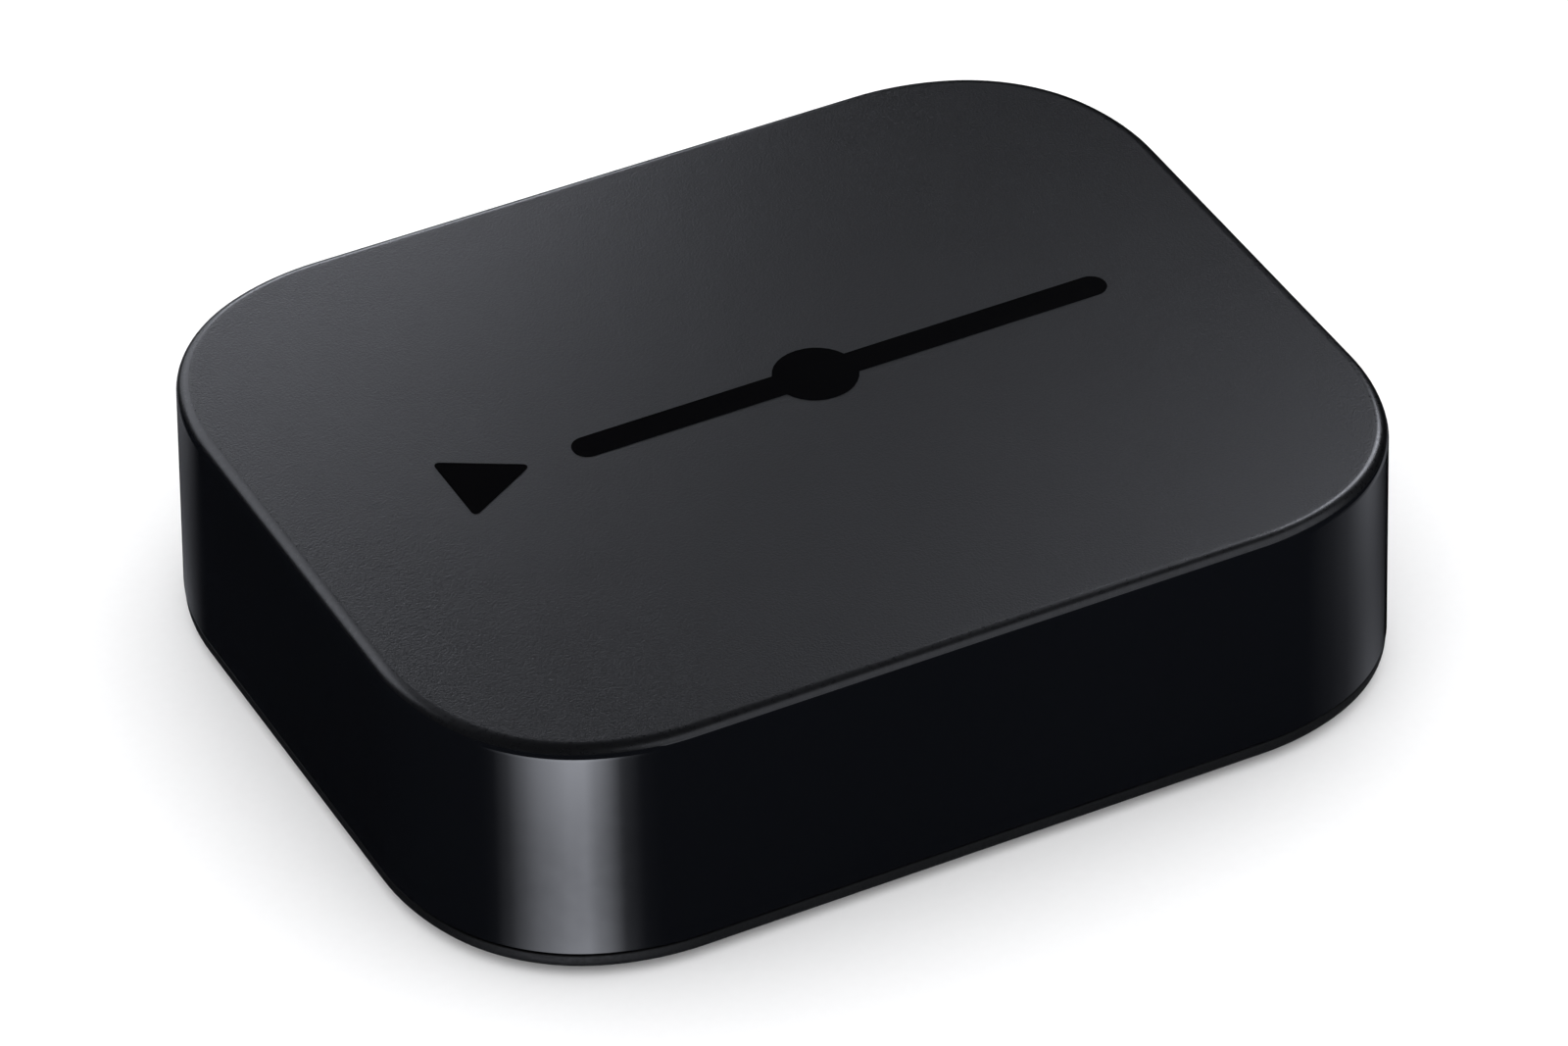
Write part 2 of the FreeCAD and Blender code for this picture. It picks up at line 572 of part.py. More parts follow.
def make_feet():
    for corner, (sign_x, sign_y) in CORNERS.items():
        body = add_body(f"foot_{corner}")
        disc = add_sketch(body, "disc")
        add_circle(disc, "0", "0", "Sizes.foot_diameter")
        add_pad(body, "disc", disc, "Sizes.foot_thickness")
        add_fillet(body, "edge", "Sizes.foot_edge_radius", "0")
        keep(place(body, f"{sign_x} * {SCREW_X}", f"{sign_y} * {SCREW_Y}"))


def add_screw(name, thread, length, head, head_height, upwards, where):
    """Add a screw whose head's seat is at where and whose thread points up or down."""
    body = add_body(name)
    profile = add_sketch(body, "profile", "XZ_Plane")
    tip = f"{upwards} * ({length})"
    back = f"{-upwards} * ({head_height})"
    corners = (("0", tip), (f"({thread}) / 2", tip), (f"({thread}) / 2", "0"), (f"({head}) / 2", "0"))
    add_polygon(profile, corners + ((f"({head}) / 2", back), ("0", back)))
    turn = body.newObject("PartDesign::Revolution", f"{name}_turn")
    turn.Profile = profile
    turn.ReferenceAxis = (profile, ["V_Axis"])
    turn.Angle = 360
    body.Tip = turn
    # Cross recess in the head.
    cross = add_sketch(body, "cross", offset=back)
    reach = f"({head}) * 0.3"
    web = f"({head}) * 0.07"
    arms = []
    for sign_x, sign_y in ((1, 1), (-1, 1), (-1, -1), (1, -1)):
        points = [(reach, web), (web, web), (web, reach)]
        if sign_x != sign_y:
            points.reverse()
        arms += [(f"{sign_x} * {x}", f"{sign_y} * {y}") for x, y in points]
    add_polygon(cross, arms)
    add_pocket(body, "cross", cross, f"({head_height}) / 2", backwards=upwards > 0)
    return place(body, *where)


def make_case_screws():
    screws = []
    size = ("Sizes.screw_diameter", "Sizes.screw_length", "Sizes.head_diameter", "Sizes.head_height")
    for corner, (sign_x, sign_y) in CORNERS.items():
        where = (f"{sign_x} * {SCREW_X}", f"{sign_y} * {SCREW_Y}", HEAD_SEAT)
        screws.append(add_screw(f"case_screw_{corner}", *size, 1, where))
    keep(add_group("case_screws", screws))


def make_label_and_emblem():
    size = ("Sizes.label_length", "Sizes.label_width", "Sizes.label_thickness")
    bottom = f"{COVER_BOTTOM} + Sizes.label_recess - Sizes.label_thickness"
    keep(add_block("rating_label", size, ("0", "Sizes.label_centre_y"), bottom))

    left = "(Sizes.emblem_x - Sizes.emblem_length / 2)"
    half = "Sizes.emblem_height / 2"
    triangle_width = "Sizes.emblem_height * sqrt(3) / 2"
    play = add_body("emblem_play")
    triangle = add_sketch(play, "triangle", offset=CASE_TOP)
    corners = (
        (left, f"Sizes.emblem_y - {half}"),
        (f"{left} + {triangle_width}", "Sizes.emblem_y"),
        (left, f"Sizes.emblem_y + {half}"),
    )
    add_polygon(triangle, corners)
    add_pad(play, "triangle", triangle, "Sizes.ink_thickness")

    bar_start = f"({left} + {triangle_width} + Sizes.emblem_gap)"
    bar_length = f"(Sizes.emblem_x + Sizes.emblem_length / 2 - {bar_start})"
    progress = add_body("emblem_progress")
    bar = add_sketch(progress, "bar", offset=CASE_TOP)
    add_stadium(bar, f"{bar_start} + {bar_length} / 2", "Sizes.emblem_y", bar_length, "Sizes.bar_height")
    add_pad(progress, "bar", bar, "Sizes.ink_thickness")
    knob = add_sketch(progress, "knob", offset=CASE_TOP)
    knob_x = f"{bar_start} + {bar_length} * Sizes.knob_share"
    add_circle(knob, knob_x, "Sizes.emblem_y", "Sizes.knob_diameter")
    add_pad(progress, "knob", knob, "Sizes.ink_thickness")
    keep(add_group("emblem", [play, progress]))


# Main board and what is soldered to it


def make_main_board():
    body = add_body("main_board")
    outline = add_sketch(body, "outline", offset=BOARD_BOTTOM)
    inset = "(Sizes.wall_thickness + Sizes.board_clearance)"
    add_outline(outline, inset)
    add_pad(body, "board", outline, "Sizes.board_thickness")
    holes = add_sketch(body, "screw_holes", offset=BOARD_BOTTOM)
    add_corner_circles(holes, "Sizes.screw_diameter + Sizes.screw_clearance")
    add_pocket(body, "screw_holes", holes, "Sizes.board_thickness", backwards=True)
    notch = add_sketch(body, "notch", offset=BOARD_BOTTOM)
    edge = f"({HALF_Y} - {inset})"
    add_rectangle(notch, "Sizes.button_x", edge, "Sizes.notch_width", "2 * Sizes.notch_depth")
    add_pocket(body, "notch", notch, "Sizes.board_thickness", backwards=True)
    keep(body)


def make_chips():
    shield_left = "(Sizes.shield_x - Sizes.shield_length / 2)"
    places = {
        "processor": ("Sizes.processor_x", "Sizes.shield_y"),
        "memory": ("Sizes.shield_x - Sizes.memory_offset", "Sizes.shield_y"),
        "flash": (f"{shield_left} - Sizes.flash_gap - Sizes.flash_length / 2", "Sizes.flash_y"),
        "power": ("Sizes.power_x", POWER_CHIP_Y),
    }
    for kind, centre in places.items():
        if kind in SQUARE_CHIPS:
            length = width = SQUARE_CHIPS[kind]
            height = length.replace("side", "height")
        else:
            length, width, height = (f"Sizes.{kind}_{side}" for side in ("length", "width", "height"))
        keep(add_block(f"{kind}_chip", (length, width, height), centre, BOARD_TOP))
    size = ("Sizes.crystal_length", "Sizes.crystal_width", "Sizes.crystal_height")
    keep(add_block("crystal", size, CRYSTAL_PLACE, BOARD_TOP))


def make_passives():
    groups = {
        "inductors": ("side", "side", "height", INDUCTOR_PLACES),
        "bulk_capacitors": ("length", "width", "height", BULK_PLACES),
    }
    for name, (*sides, centres) in groups.items():
        kind = name.split("_")[0].rstrip("s")
        size = [f"Sizes.{kind}_{side}" for side in sides]
        blocks = []
        for index, centre in enumerate(centres):
            blocks.append(add_block(f"{name}_{index}", size, centre, BOARD_TOP))
        keep(add_group(name, blocks))
    # Two rows of small capacitors inside the shield, in front of and behind the chips.
    reach = "(Sizes.shield_width / 2 - Sizes.capacitor_inset)"
    size = ("Sizes.capacitor_length", "Sizes.capacitor_side", "Sizes.capacitor_side")
    capacitors = []
    for row, sign in enumerate("+-"):
        y = f"Sizes.shield_y {sign} {reach}"
        for index in range(CAPACITORS_IN_ROW):
            x = f"Sizes.shield_x + {index - (CAPACITORS_IN_ROW - 1) / 2} * Sizes.capacitor_pitch"
            capacitors.append(add_block(f"chip_capacitor_{row}_{index}", size, (x, y), BOARD_TOP))
    keep(add_group("chip_capacitors", capacitors))


def make_shield():
    centre = ("Sizes.shield_x", "Sizes.shield_y")
    outer = ("Sizes.shield_length", "Sizes.shield_width")
    inner = tuple(f"{side} - 2 * Sizes.shield_wall" for side in outer)
    frame = add_body("shield_frame")
    outline = add_sketch(frame, "outline", offset=BOARD_TOP)
    add_rectangle(outline, *centre, *outer)
    add_pad(frame, "wall", outline, "Sizes.shield_height")
    inside = add_sketch(frame, "inside", offset=BOARD_TOP)
    add_rectangle(inside, *centre, *inner)
    add_pocket(frame, "inside", inside, "Sizes.shield_height", backwards=True)
    keep(frame)
    size = (*outer, "Sizes.shield_wall")
    keep(add_block("shield_cover", size, centre, SHIELD_TOP))


def make_thermal_pads():
    side = "Sizes.processor_side - 2 * Sizes.pad_margin"
    centre = ("Sizes.processor_x", "Sizes.shield_y")
    lower = "Sizes.shield_height - Sizes.processor_height"
    processor_top = f"{BOARD_TOP} + Sizes.processor_height"
    keep(add_block("thermal_pad_lower", (side, side, lower), centre, processor_top))
    keep(add_block("thermal_pad_upper", (side, side, "Sizes.upper_pad_thickness"), centre, SHIELD_COVER_TOP))


def make_heat_sink():
    body = add_body("heat_sink")
    plate = add_sketch(body, "plate", offset=SINK_BOTTOM)
    add_rectangle(plate, "0", "0", "Sizes.sink_length", "Sizes.sink_width")
    add_pad(body, "plate", plate, "Sizes.sink_plate")
    fin = add_sketch(body, "fin", offset=SINK_TOP)
    # The fins fill the middle of the plate and leave both screws free.
    spread = f"(2 * ({STANDOFF_X} - Sizes.sink_head_diameter - Sizes.fin_thickness))"
    add_rectangle(fin, f"-{spread} / 2", "0", "Sizes.fin_thickness", "Sizes.sink_width")
    first = add_pad(body, "fin", fin, f"{CEILING} - Sizes.fin_gap_above - {SINK_TOP}")
    add_row(body, first, fin, spread, "Sizes.fin_count")
    holes = add_sketch(body, "holes", offset=SINK_BOTTOM)
    for sign in (-1, 1):
        where = (f"{sign} * {STANDOFF_X}", f"{sign} * {STANDOFF_Y}")
        add_circle(holes, *where, "Sizes.sink_screw_diameter + Sizes.screw_clearance")
    add_pocket(body, "holes", holes, "Sizes.sink_plate", backwards=True)
    keep(place(body, "Sizes.shield_x", "Sizes.shield_y"))

    standoffs = []
    screws = []
    screw_size = (
        "Sizes.sink_screw_diameter", "Sizes.sink_screw_length",
        "Sizes.sink_head_diameter", "Sizes.sink_head_height",
    )
    for side, sign in (("left", -1), ("right", 1)):
        x = f"Sizes.shield_x + {sign} * {STANDOFF_X}"
        y = f"Sizes.shield_y + {sign} * {STANDOFF_Y}"
        standoff = add_body(f"standoff_{side}")
        ring = add_sketch(standoff, "ring")
        add_circle(ring, "0", "0", "Sizes.standoff_diameter")
        add_circle(ring, "0", "0", "Sizes.sink_screw_diameter")
        add_pad(standoff, "ring", ring, f"{SINK_BOTTOM} - {BOARD_TOP}")
        standoffs.append(place(standoff, x, y, BOARD_TOP))
        screws.append(add_screw(f"heat_sink_screw_{side}", *screw_size, -1, (x, y, SINK_TOP)))
    keep(add_group("board_standoffs", standoffs))
    keep(add_group("heat_sink_screws", screws))


# Sockets


def add_av_profile(sketch, inset, x="0", bottom="0"):
    """Draw the audio-video socket's outline, its two lower corners slanted, moved in by inset."""
    half = f"(Sizes.av_width / 2 - ({inset}))"
    cut = f"(Sizes.av_chamfer - (2 - sqrt(2)) * ({inset}))"
    low = f"({bottom}) + ({inset})"
    high = f"({bottom}) + Sizes.av_height - ({inset})"
    add_polygon(sketch, (
        (f"{x} - {half} + {cut}", low),
        (f"{x} + {half} - {cut}", low),
        (f"{x} + {half}", f"{low} + {cut}"),
        (f"{x} + {half}", high),
        (f"{x} - {half}", high),
        (f"{x} - {half}", f"{low} + {cut}"),
    ))


def add_power_profile(sketch, inset):
    """Draw the power socket's round-ended outline, moved in by inset."""
    width = f"Sizes.power_width - 2 * ({inset})"
    height = f"Sizes.power_height - 2 * ({inset})"
    add_stadium(sketch, "0", "Sizes.power_height / 2", width, height)


def make_socket(kind, add_profile, rows):
    """Make a socket's shell, insulator and contacts, its mouth in the plane Y = 0 of its bodies."""
    where = (f"Sizes.{kind}_x", PORT_MOUTH_Y, BOARD_TOP)
    depth = f"Sizes.{kind}_depth"
    shell = add_body(f"{kind}_socket_shell")
    outside = add_sketch(shell, "outside", "XZ_Plane")
    add_profile(outside, "0")
    add_pad(shell, "outside", outside, depth)
    inside = add_sketch(shell, "inside", "XZ_Plane")
    add_profile(inside, f"Sizes.{kind}_shell")
    add_pocket(shell, "inside", inside, depth, backwards=True)
    keep(place(shell, *where))

    insert = add_body(f"{kind}_socket_insert")
    block_front = f"({depth} - Sizes.{kind}_block_depth)"
    block = add_sketch(insert, "block", "XZ_Plane", block_front)
    add_profile(block, f"Sizes.{kind}_shell + Sizes.insert_clearance")
    add_pad(insert, "block", block, f"Sizes.{kind}_block_depth")
    middle = f"(Sizes.{kind}_height / 2)"
    tongue = add_sketch(insert, "tongue", "XZ_Plane", "Sizes.tongue_recess")
    add_rectangle(tongue, "0", middle, f"Sizes.{kind}_tongue_width", f"Sizes.{kind}_tongue_height")
    add_pad(insert, "tongue", tongue, f"{block_front} - Sizes.tongue_recess")
    keep(place(insert, *where))

    # Contact strips lie on both faces of the tongue.
    length = f"({block_front} - 2 * Sizes.tongue_recess)"
    size = (f"Sizes.{kind}_contact_width", length, "Sizes.contact_thickness")
    y = f"{PORT_MOUTH_Y} - 2 * Sizes.tongue_recess - {length} / 2"
    half = f"Sizes.{kind}_tongue_height / 2"
    faces = (f"{half}", f"-{half} - Sizes.contact_thickness")
    contacts = []
    for face, (count, height) in enumerate(zip(rows, faces)):
        for index in range(count):
            x = f"Sizes.{kind}_x + {index - (count - 1) / 2} * Sizes.{kind}_contact_pitch"
            bottom = f"{BOARD_TOP} + {middle} + {height}"
            contacts.append(add_block(f"{kind}_contact_{face}_{index}", size, (x, y), bottom))
    keep(add_group(f"{kind}_socket_contacts", contacts))


# Reset button and its switch


def make_reset_button():
    body = add_body("reset_button")
    profile = add_sketch(body, "profile")
    pin = "Sizes.button_diameter / 2"
    flange = "Sizes.flange_diameter / 2"
    end = f"({HALF_Y} - Sizes.button_recess)"
    corners = (("0", STEM_Y), (flange, STEM_Y), (flange, FLANGE_Y), (pin, FLANGE_Y))
    add_polygon(profile, corners + ((pin, end), ("0", end)))
    turn = body.newObject("PartDesign::Revolution", "reset_button_turn")
    turn.Profile = profile
    turn.ReferenceAxis = (profile, ["V_Axis"])
    turn.Angle = 360
    body.Tip = turn
    keep(place(body, "Sizes.button_x", "0", BUTTON_Z))


def make_switch():
    where = ("Sizes.button_x", SWITCH_Y, BOARD_TOP)
    middle = "Sizes.switch_height / 2"
    housing = add_body("switch_housing")
    outline = add_sketch(housing, "outline")
    add_rectangle(outline, "0", "Sizes.switch_depth / 2", "Sizes.switch_width", "Sizes.switch_depth")
    add_pad(housing, "block", outline, "Sizes.switch_height")
    chamber = add_sketch(housing, "chamber", "XZ_Plane", "-Sizes.switch_depth")
    add_rectangle(chamber, "0", middle, "Sizes.chamber_width", "Sizes.chamber_height")
    add_pocket(housing, "chamber", chamber, "Sizes.chamber_depth", backwards=True)
    keep(place(housing, *where))

    cover = add_body("switch_cover")
    side = add_sketch(cover, "side", "YZ_Plane", "-Sizes.switch_width / 2")
    front = "Sizes.switch_depth"
    outer_front = "Sizes.switch_depth + Sizes.switch_sheet"
    outer_top = "Sizes.switch_height + Sizes.switch_sheet"
    corners = (("0", "Sizes.switch_height"), (front, "Sizes.switch_height"), (front, "0"))
    add_polygon(side, corners + ((outer_front, "0"), (outer_front, outer_top), ("0", outer_top)))
    add_pad(cover, "sheet", side, "Sizes.switch_width")
    slot = add_sketch(cover, "slot", "XZ_Plane", f"-({outer_front})")
    slack = "2 * Sizes.plunger_slack"
    size = (f"Sizes.plunger_width + {slack}", f"Sizes.plunger_height + {slack}")
    add_rectangle(slot, "0", middle, *size)
    add_pocket(cover, "slot", slot, "Sizes.switch_sheet", backwards=True)
    keep(place(cover, *where))

    # The snap dome is a bowed strip across the back of the chamber.
    dome = add_body("switch_dome")
    bow = add_sketch(dome, "bow", offset=f"{middle} - Sizes.chamber_height / 2 + 2 * Sizes.plunger_slack")
    half = "(Sizes.chamber_width / 2 - 2 * Sizes.plunger_slack)"
    apex = f"({CHAMBER_Y} + Sizes.button_travel + Sizes.dome_thickness + Sizes.dome_slack)"
    shoulder = f"{half} / 2"
    inner_apex = f"({apex} - Sizes.dome_thickness)"
    foot = f"({CHAMBER_Y} + Sizes.dome_thickness)"
    corners = [(f"-{half}", CHAMBER_Y), (f"-{shoulder}", inner_apex), (shoulder, inner_apex)]
    corners += [(half, CHAMBER_Y), (half, foot), (shoulder, apex), (f"-{shoulder}", apex), (f"-{half}", foot)]
    add_polygon(bow, corners)
    add_pad(dome, "strip", bow, "Sizes.chamber_height - 4 * Sizes.plunger_slack")
    keep(place(dome, *where))

    plunger = add_body("switch_plunger")
    head = add_sketch(plunger, "head", "XZ_Plane", f"-({apex} + Sizes.plunger_slack)")
    size = tuple(f"Sizes.chamber_{side} - 4 * Sizes.plunger_slack" for side in ("width", "height"))
    add_rectangle(head, "0", middle, *size)
    head_length = f"(Sizes.switch_depth - {apex} - 2 * Sizes.plunger_slack)"
    add_pad(plunger, "head", head, head_length, backwards=True)
    stem = add_sketch(plunger, "stem", "XZ_Plane", f"-({apex} + Sizes.plunger_slack)")
    add_rectangle(stem, "0", middle, "Sizes.plunger_width", "Sizes.plunger_height")
    reach = f"{outer_front} + Sizes.stem_length - {apex} - Sizes.plunger_slack"
    add_pad(plunger, "stem", stem, reach, backwards=True)
    keep(place(plunger, *where))


# Status light


def make_status_light():
    centre = ("Sizes.light_x", LIGHT_Y)
    led_size = ("Sizes.led_side", "Sizes.led_side", "Sizes.led_height")
    keep(add_block("status_led", led_size, centre, BOARD_TOP))
    # The pipe rises over the LED, bends to the rear and ends in the wall.
    body = add_body("light_pipe")
    start = f"({BOARD_TOP} + 2 * Sizes.led_height)"
    rim = add_sketch(body, "rim", offset=start)
    add_circle(rim, "0", "0", "Sizes.light_diameter")
    path = add_sketch(body, "path", "YZ_Plane")
    bend = "Sizes.light_bend"
    low, high, corner = number(start), number(LIGHT_Z), number(bend)
    end = f"({HALF_Y} - Sizes.mouth_recess - {LIGHT_Y})"
    path.addGeometry(Part.LineSegment(Vector(0, low, 0), Vector(0, high - corner, 0)))
    add_arc(path, (corner, high - corner), corner, math.pi / 2, math.pi)
    path.addGeometry(Part.LineSegment(Vector(corner, high, 0), Vector(number(end), high, 0)))
    for joint in ((0, 2, 1, 2), (1, 1, 2, 1)):
        path.addConstraint(Sketcher.Constraint("Tangent", *joint))
    path.addConstraint(Sketcher.Constraint("Vertical", 0))
    path.addConstraint(Sketcher.Constraint("Horizontal", 2))
    path.addConstraint(Sketcher.Constraint("PointOnObject", 0, 1, -2))
    bind(path, ("DistanceY", -1, 1, 0, 1), start)
    bind(path, ("DistanceY", -1, 1, 2, 1), LIGHT_Z)
    bind(path, ("Radius", 1), bend)
    bind(path, ("DistanceX", -1, 1, 2, 2), end)
    doc.recompute()
    pipe = body.newObject("PartDesign::AdditivePipe", "light_pipe_sweep")
    pipe.Profile = rim
    pipe.Spine = (path, ["Edge1", "Edge2", "Edge3"])
    body.Tip = pipe
    keep(place(body, "Sizes.light_x", LIGHT_Y))


# Radio


def make_radio():
    side = "Sizes.radio_side"
    keep(add_block("radio_board", (side, side, "Sizes.radio_board_height"),
                   ("Sizes.radio_x", "Sizes.radio_y"), BOARD_TOP))
    cover_size = (side, f"{side} - Sizes.plug_strip", "Sizes.radio_cover_height")
    cover_centre = ("Sizes.radio_x", "Sizes.radio_y + Sizes.plug_strip / 2")
    keep(add_block("radio_cover", cover_size, cover_centre, RADIO_BOARD_TOP))
    plugs = []
    for side_name, sign in (("left", -1), ("right", 1)):
        centre = (f"Sizes.radio_x + {sign} * {PLUG_X}", PLUG_Y)
        plugs.append(add_disc(f"antenna_plug_{side_name}", "Sizes.plug_diameter", "Sizes.plug_height",
                              centre, RADIO_BOARD_TOP))
        wall = f"{sign} * ({INNER_X} - Sizes.antenna_thickness / 2)"
        size = ("Sizes.antenna_thickness", "Sizes.antenna_length", "Sizes.antenna_height")
        bottom = f"{CEILING} - Sizes.antenna_drop - Sizes.antenna_height"
        keep(add_block(f"antenna_{side_name}", size, (wall, "0"), bottom))
    keep(add_group("antenna_connectors", plugs))


def add_lead(name, points):
    """Sweep a lead along straight runs joined by tangent arcs as large as the runs allow."""
    share = 0.45
    edges = []
    start = points[0]
    for before, corner, after in zip(points, points[1:], points[2:]):
        arriving = (corner - before).normalize()
        leaving = (after - corner).normalize()
        turn = arriving.getAngle(leaving)
        reach = share * min(corner.distanceToPoint(before), corner.distanceToPoint(after))
        inner = (leaving - arriving).normalize()
        radius = reach / math.tan(turn / 2)
        middle = corner + inner * (radius / math.cos(turn / 2) - radius)
        entry = corner - arriving * reach
        leave = corner + leaving * reach
        edges.append(Part.LineSegment(start, entry).toShape())
        edges.append(Part.Arc(entry, middle, leave).toShape())
        start = leave
    edges.append(Part.LineSegment(start, points[-1]).toShape())
    route = Part.Wire(edges)
    direction = (points[1] - points[0]).normalize()
    ring = Part.Wire([Part.Circle(points[0], direction, number("Sizes.lead_diameter") / 2).toShape()])
    lead = doc.addObject("Part::Feature", name)
    lead.Label = name
    lead.Shape = route.makePipeShell([ring], True, True)
    area = math.pi * number("Sizes.lead_diameter") ** 2 / 4
    print(name, "volume over section times length:", round(lead.Shape.Volume / (area * route.Length), 3))
    keep(lead)


def make_antenna_leads():
    level = number(LEAD_Z)
    plug_y = number(PLUG_Y)
    plug_radius = number("Sizes.plug_diameter") / 2
    plug_left = number(f"Sizes.radio_x - {PLUG_X}")
    plug_right = number(f"Sizes.radio_x + {PLUG_X}")
    beside_wall = number(f"{INNER_X} - Sizes.antenna_thickness - Sizes.lead_diameter / 2")
    front = -number(f"{INNER_Y} - 1.5 * Sizes.lead_diameter")
    boss_x = number(SCREW_X)
    boss_y = number(SCREW_Y)
    add_lead("antenna_lead_right", [
        Vector(plug_right + plug_radius, plug_y, level),
        Vector(beside_wall, plug_y, level),
        Vector(beside_wall, plug_y / 2, level + 1),
        Vector(beside_wall, 0, level + 1),
    ])
    add_lead("antenna_lead_left", [
        Vector(plug_left, plug_y - plug_radius, level),
        Vector(plug_left, front, level),
        Vector(6, front - 0.3, level),
        Vector(-6, front + 0.4, level),
        Vector(6 - boss_x, front + 0.8, level),
        Vector(2 - boss_x, 5.5 - boss_y, level),
        Vector(-beside_wall, 8 - boss_y, level),
        Vector(-beside_wall, -4, level + 1),
        Vector(-beside_wall, 0, level + 1),
    ])


def write_parts():
    """Check every object, then write each node's shape to a file of its own."""
    doc.recompute()
    failed = [item.Name for item in doc.Objects if {"Invalid", "Error"} & set(item.State)]
    for node in nodes:
        if node.Shape.isNull() or not node.Shape.isValid() or not node.Shape.Solids:
            failed.append(node.Label)
    if failed:
        raise RuntimeError(f"not built: {failed}")
    os.makedirs("parts", exist_ok=True)
    for node in nodes:
        node.Shape.exportStep(f"parts/{node.Label}.step")
    print(len(nodes), "nodes written")


fill_sheet()
make_top_case()
make_bottom_cover()
make_feet()
make_case_screws()
make_label_and_emblem()
make_main_board()
make_chips()
make_passives()
make_shield()
make_thermal_pads()
make_heat_sink()
make_socket("av", add_av_profile, (10, 9))
make_socket("power", add_power_profile, (12, 12))
make_reset_button()
make_switch()
make_status_light()
make_radio()
make_antenna_leads()
write_parts()
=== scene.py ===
import math

import bmesh
import bpy
from mathutils import Matrix, Vector


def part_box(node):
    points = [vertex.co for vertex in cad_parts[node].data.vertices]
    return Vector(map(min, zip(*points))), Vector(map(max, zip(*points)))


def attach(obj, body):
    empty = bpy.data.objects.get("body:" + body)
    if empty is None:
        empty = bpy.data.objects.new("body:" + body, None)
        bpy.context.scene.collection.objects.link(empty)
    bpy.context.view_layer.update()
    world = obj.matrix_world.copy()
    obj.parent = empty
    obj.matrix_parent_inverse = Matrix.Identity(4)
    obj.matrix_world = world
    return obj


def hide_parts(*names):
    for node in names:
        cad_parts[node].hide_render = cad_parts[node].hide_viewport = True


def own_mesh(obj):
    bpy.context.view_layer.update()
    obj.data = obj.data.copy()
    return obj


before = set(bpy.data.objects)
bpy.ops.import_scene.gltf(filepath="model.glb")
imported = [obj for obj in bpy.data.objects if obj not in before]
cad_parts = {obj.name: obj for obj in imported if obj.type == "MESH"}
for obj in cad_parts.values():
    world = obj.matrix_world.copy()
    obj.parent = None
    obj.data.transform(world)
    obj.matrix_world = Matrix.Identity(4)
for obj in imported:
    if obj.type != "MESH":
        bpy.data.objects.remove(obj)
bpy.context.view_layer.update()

bl_info = {
    "name": "Media player pieces",
    "version": (1, 0, 0),
    "blender": (4, 5, 0),
    "location": "3D View > Sidebar > Player",
    "description": "Builds the finished pieces of a small streaming media player round its packed frame",
    "category": "Mesh",
}

MM = 0.001

# Points nearer than WELD are joined. A piece reaches BITE into the one that it joins, and a cutter
# reaches PAST beyond the face that it opens. A corner of ROUND_END times a width makes a round end.
WELD = 0.0005 * MM
BITE = 0.4 * MM
PAST = 1 * MM
ROUND_END = 0.49
ROUNDING_STEPS = 8
EDGE_STEPS = 4
TURN_STEPS = 48

CASE_LOW, CASE_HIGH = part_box("top_case")
COVER_LOW, COVER_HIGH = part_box("bottom_cover")
BOARD_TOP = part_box("main_board")[1].z


def linear(code):
    """Turn an sRGB hex colour into linear red, green and blue."""
    channels = (int(code[start:start + 2], 16) / 255 for start in (1, 3, 5))
    return tuple(c / 12.92 if c <= 0.04045 else ((c + 0.055) / 1.055) ** 2.4 for c in channels)


def length(name, description, millimetres):
    """A length that a user may change, its default given in millimetres."""
    return bpy.props.FloatProperty(
        name=name, description=description, default=millimetres * MM, unit="LENGTH", precision=4)


def angle(name, description, degrees):
    """An angle that a user may change, its default given in degrees."""
    return bpy.props.FloatProperty(
        name=name, description=description, default=math.radians(degrees), unit="ROTATION")


def number(name, description, value):
    """A plain number that a user may change."""
    return bpy.props.FloatProperty(name=name, description=description, default=value)


def colour(name, description, code):
    """A colour that a user may change, its default given as an sRGB hex code."""
    return bpy.props.FloatVectorProperty(
        name=name, description=description, default=linear(code), subtype="COLOR", size=3, min=0, max=1)


# Settings


class PlayerCaseSettings(bpy.types.PropertyGroup):
    end_radius: length("Corner end radius", "First and last arc of each corner", 15.56)
    middle_radius: length("Corner middle radius", "Middle arc of each corner", 11.76)
    end_turn: angle("Corner end turn", "Turn of the first and last arc", 22.5)
    draft: angle("Draft", "Lean of the side wall", 1.2)
    top_radius: length("Top edge radius", "Rounding between side wall and top", 0.8)
    foot_radius: length("Foot edge radius", "Rounding at the foot of the side wall", 0.12)
    wall: length("Wall", "Side wall at its foot", 1.9)
    roof: length("Roof", "Thickness of the top", 1.8)
    port_gap: length("Port gap", "Gap round a socket in the rear wall", 0.2)
    port_edge: length("Port edge", "Rounding of the edge of each opening", 0.16)
    port_depth: length("Port depth", "How far an opening goes into the rear wall", 2.66)
    av_corner: length("Corner", "Corner of the audio-video opening without its gap", 0.4)
    button_gap: length("Button gap", "Gap round the reset button in its opening", 0.15)
    light_gap: length("Light gap", "Gap round the light pipe in its opening", 0.1)
    satin: length("Satin edge", "How far the satin finish reaches below the top", 0.36)
    boss: length("Boss", "Diameter of a screw boss", 5.6)
    bore: length("Bore", "Bore of a screw boss", 1.6)
    bore_depth: length("Bore depth", "Bore of a screw boss above the board", 6.0)
    screw_in_x: length("Screw in along X", "Screw axis in from the end of the case", 7.8)
    screw_in_y: length("Screw in along Y", "Screw axis in from the side of the case", 7.7)
    black: colour("Black", "Moulded black of the case", "#08090c")


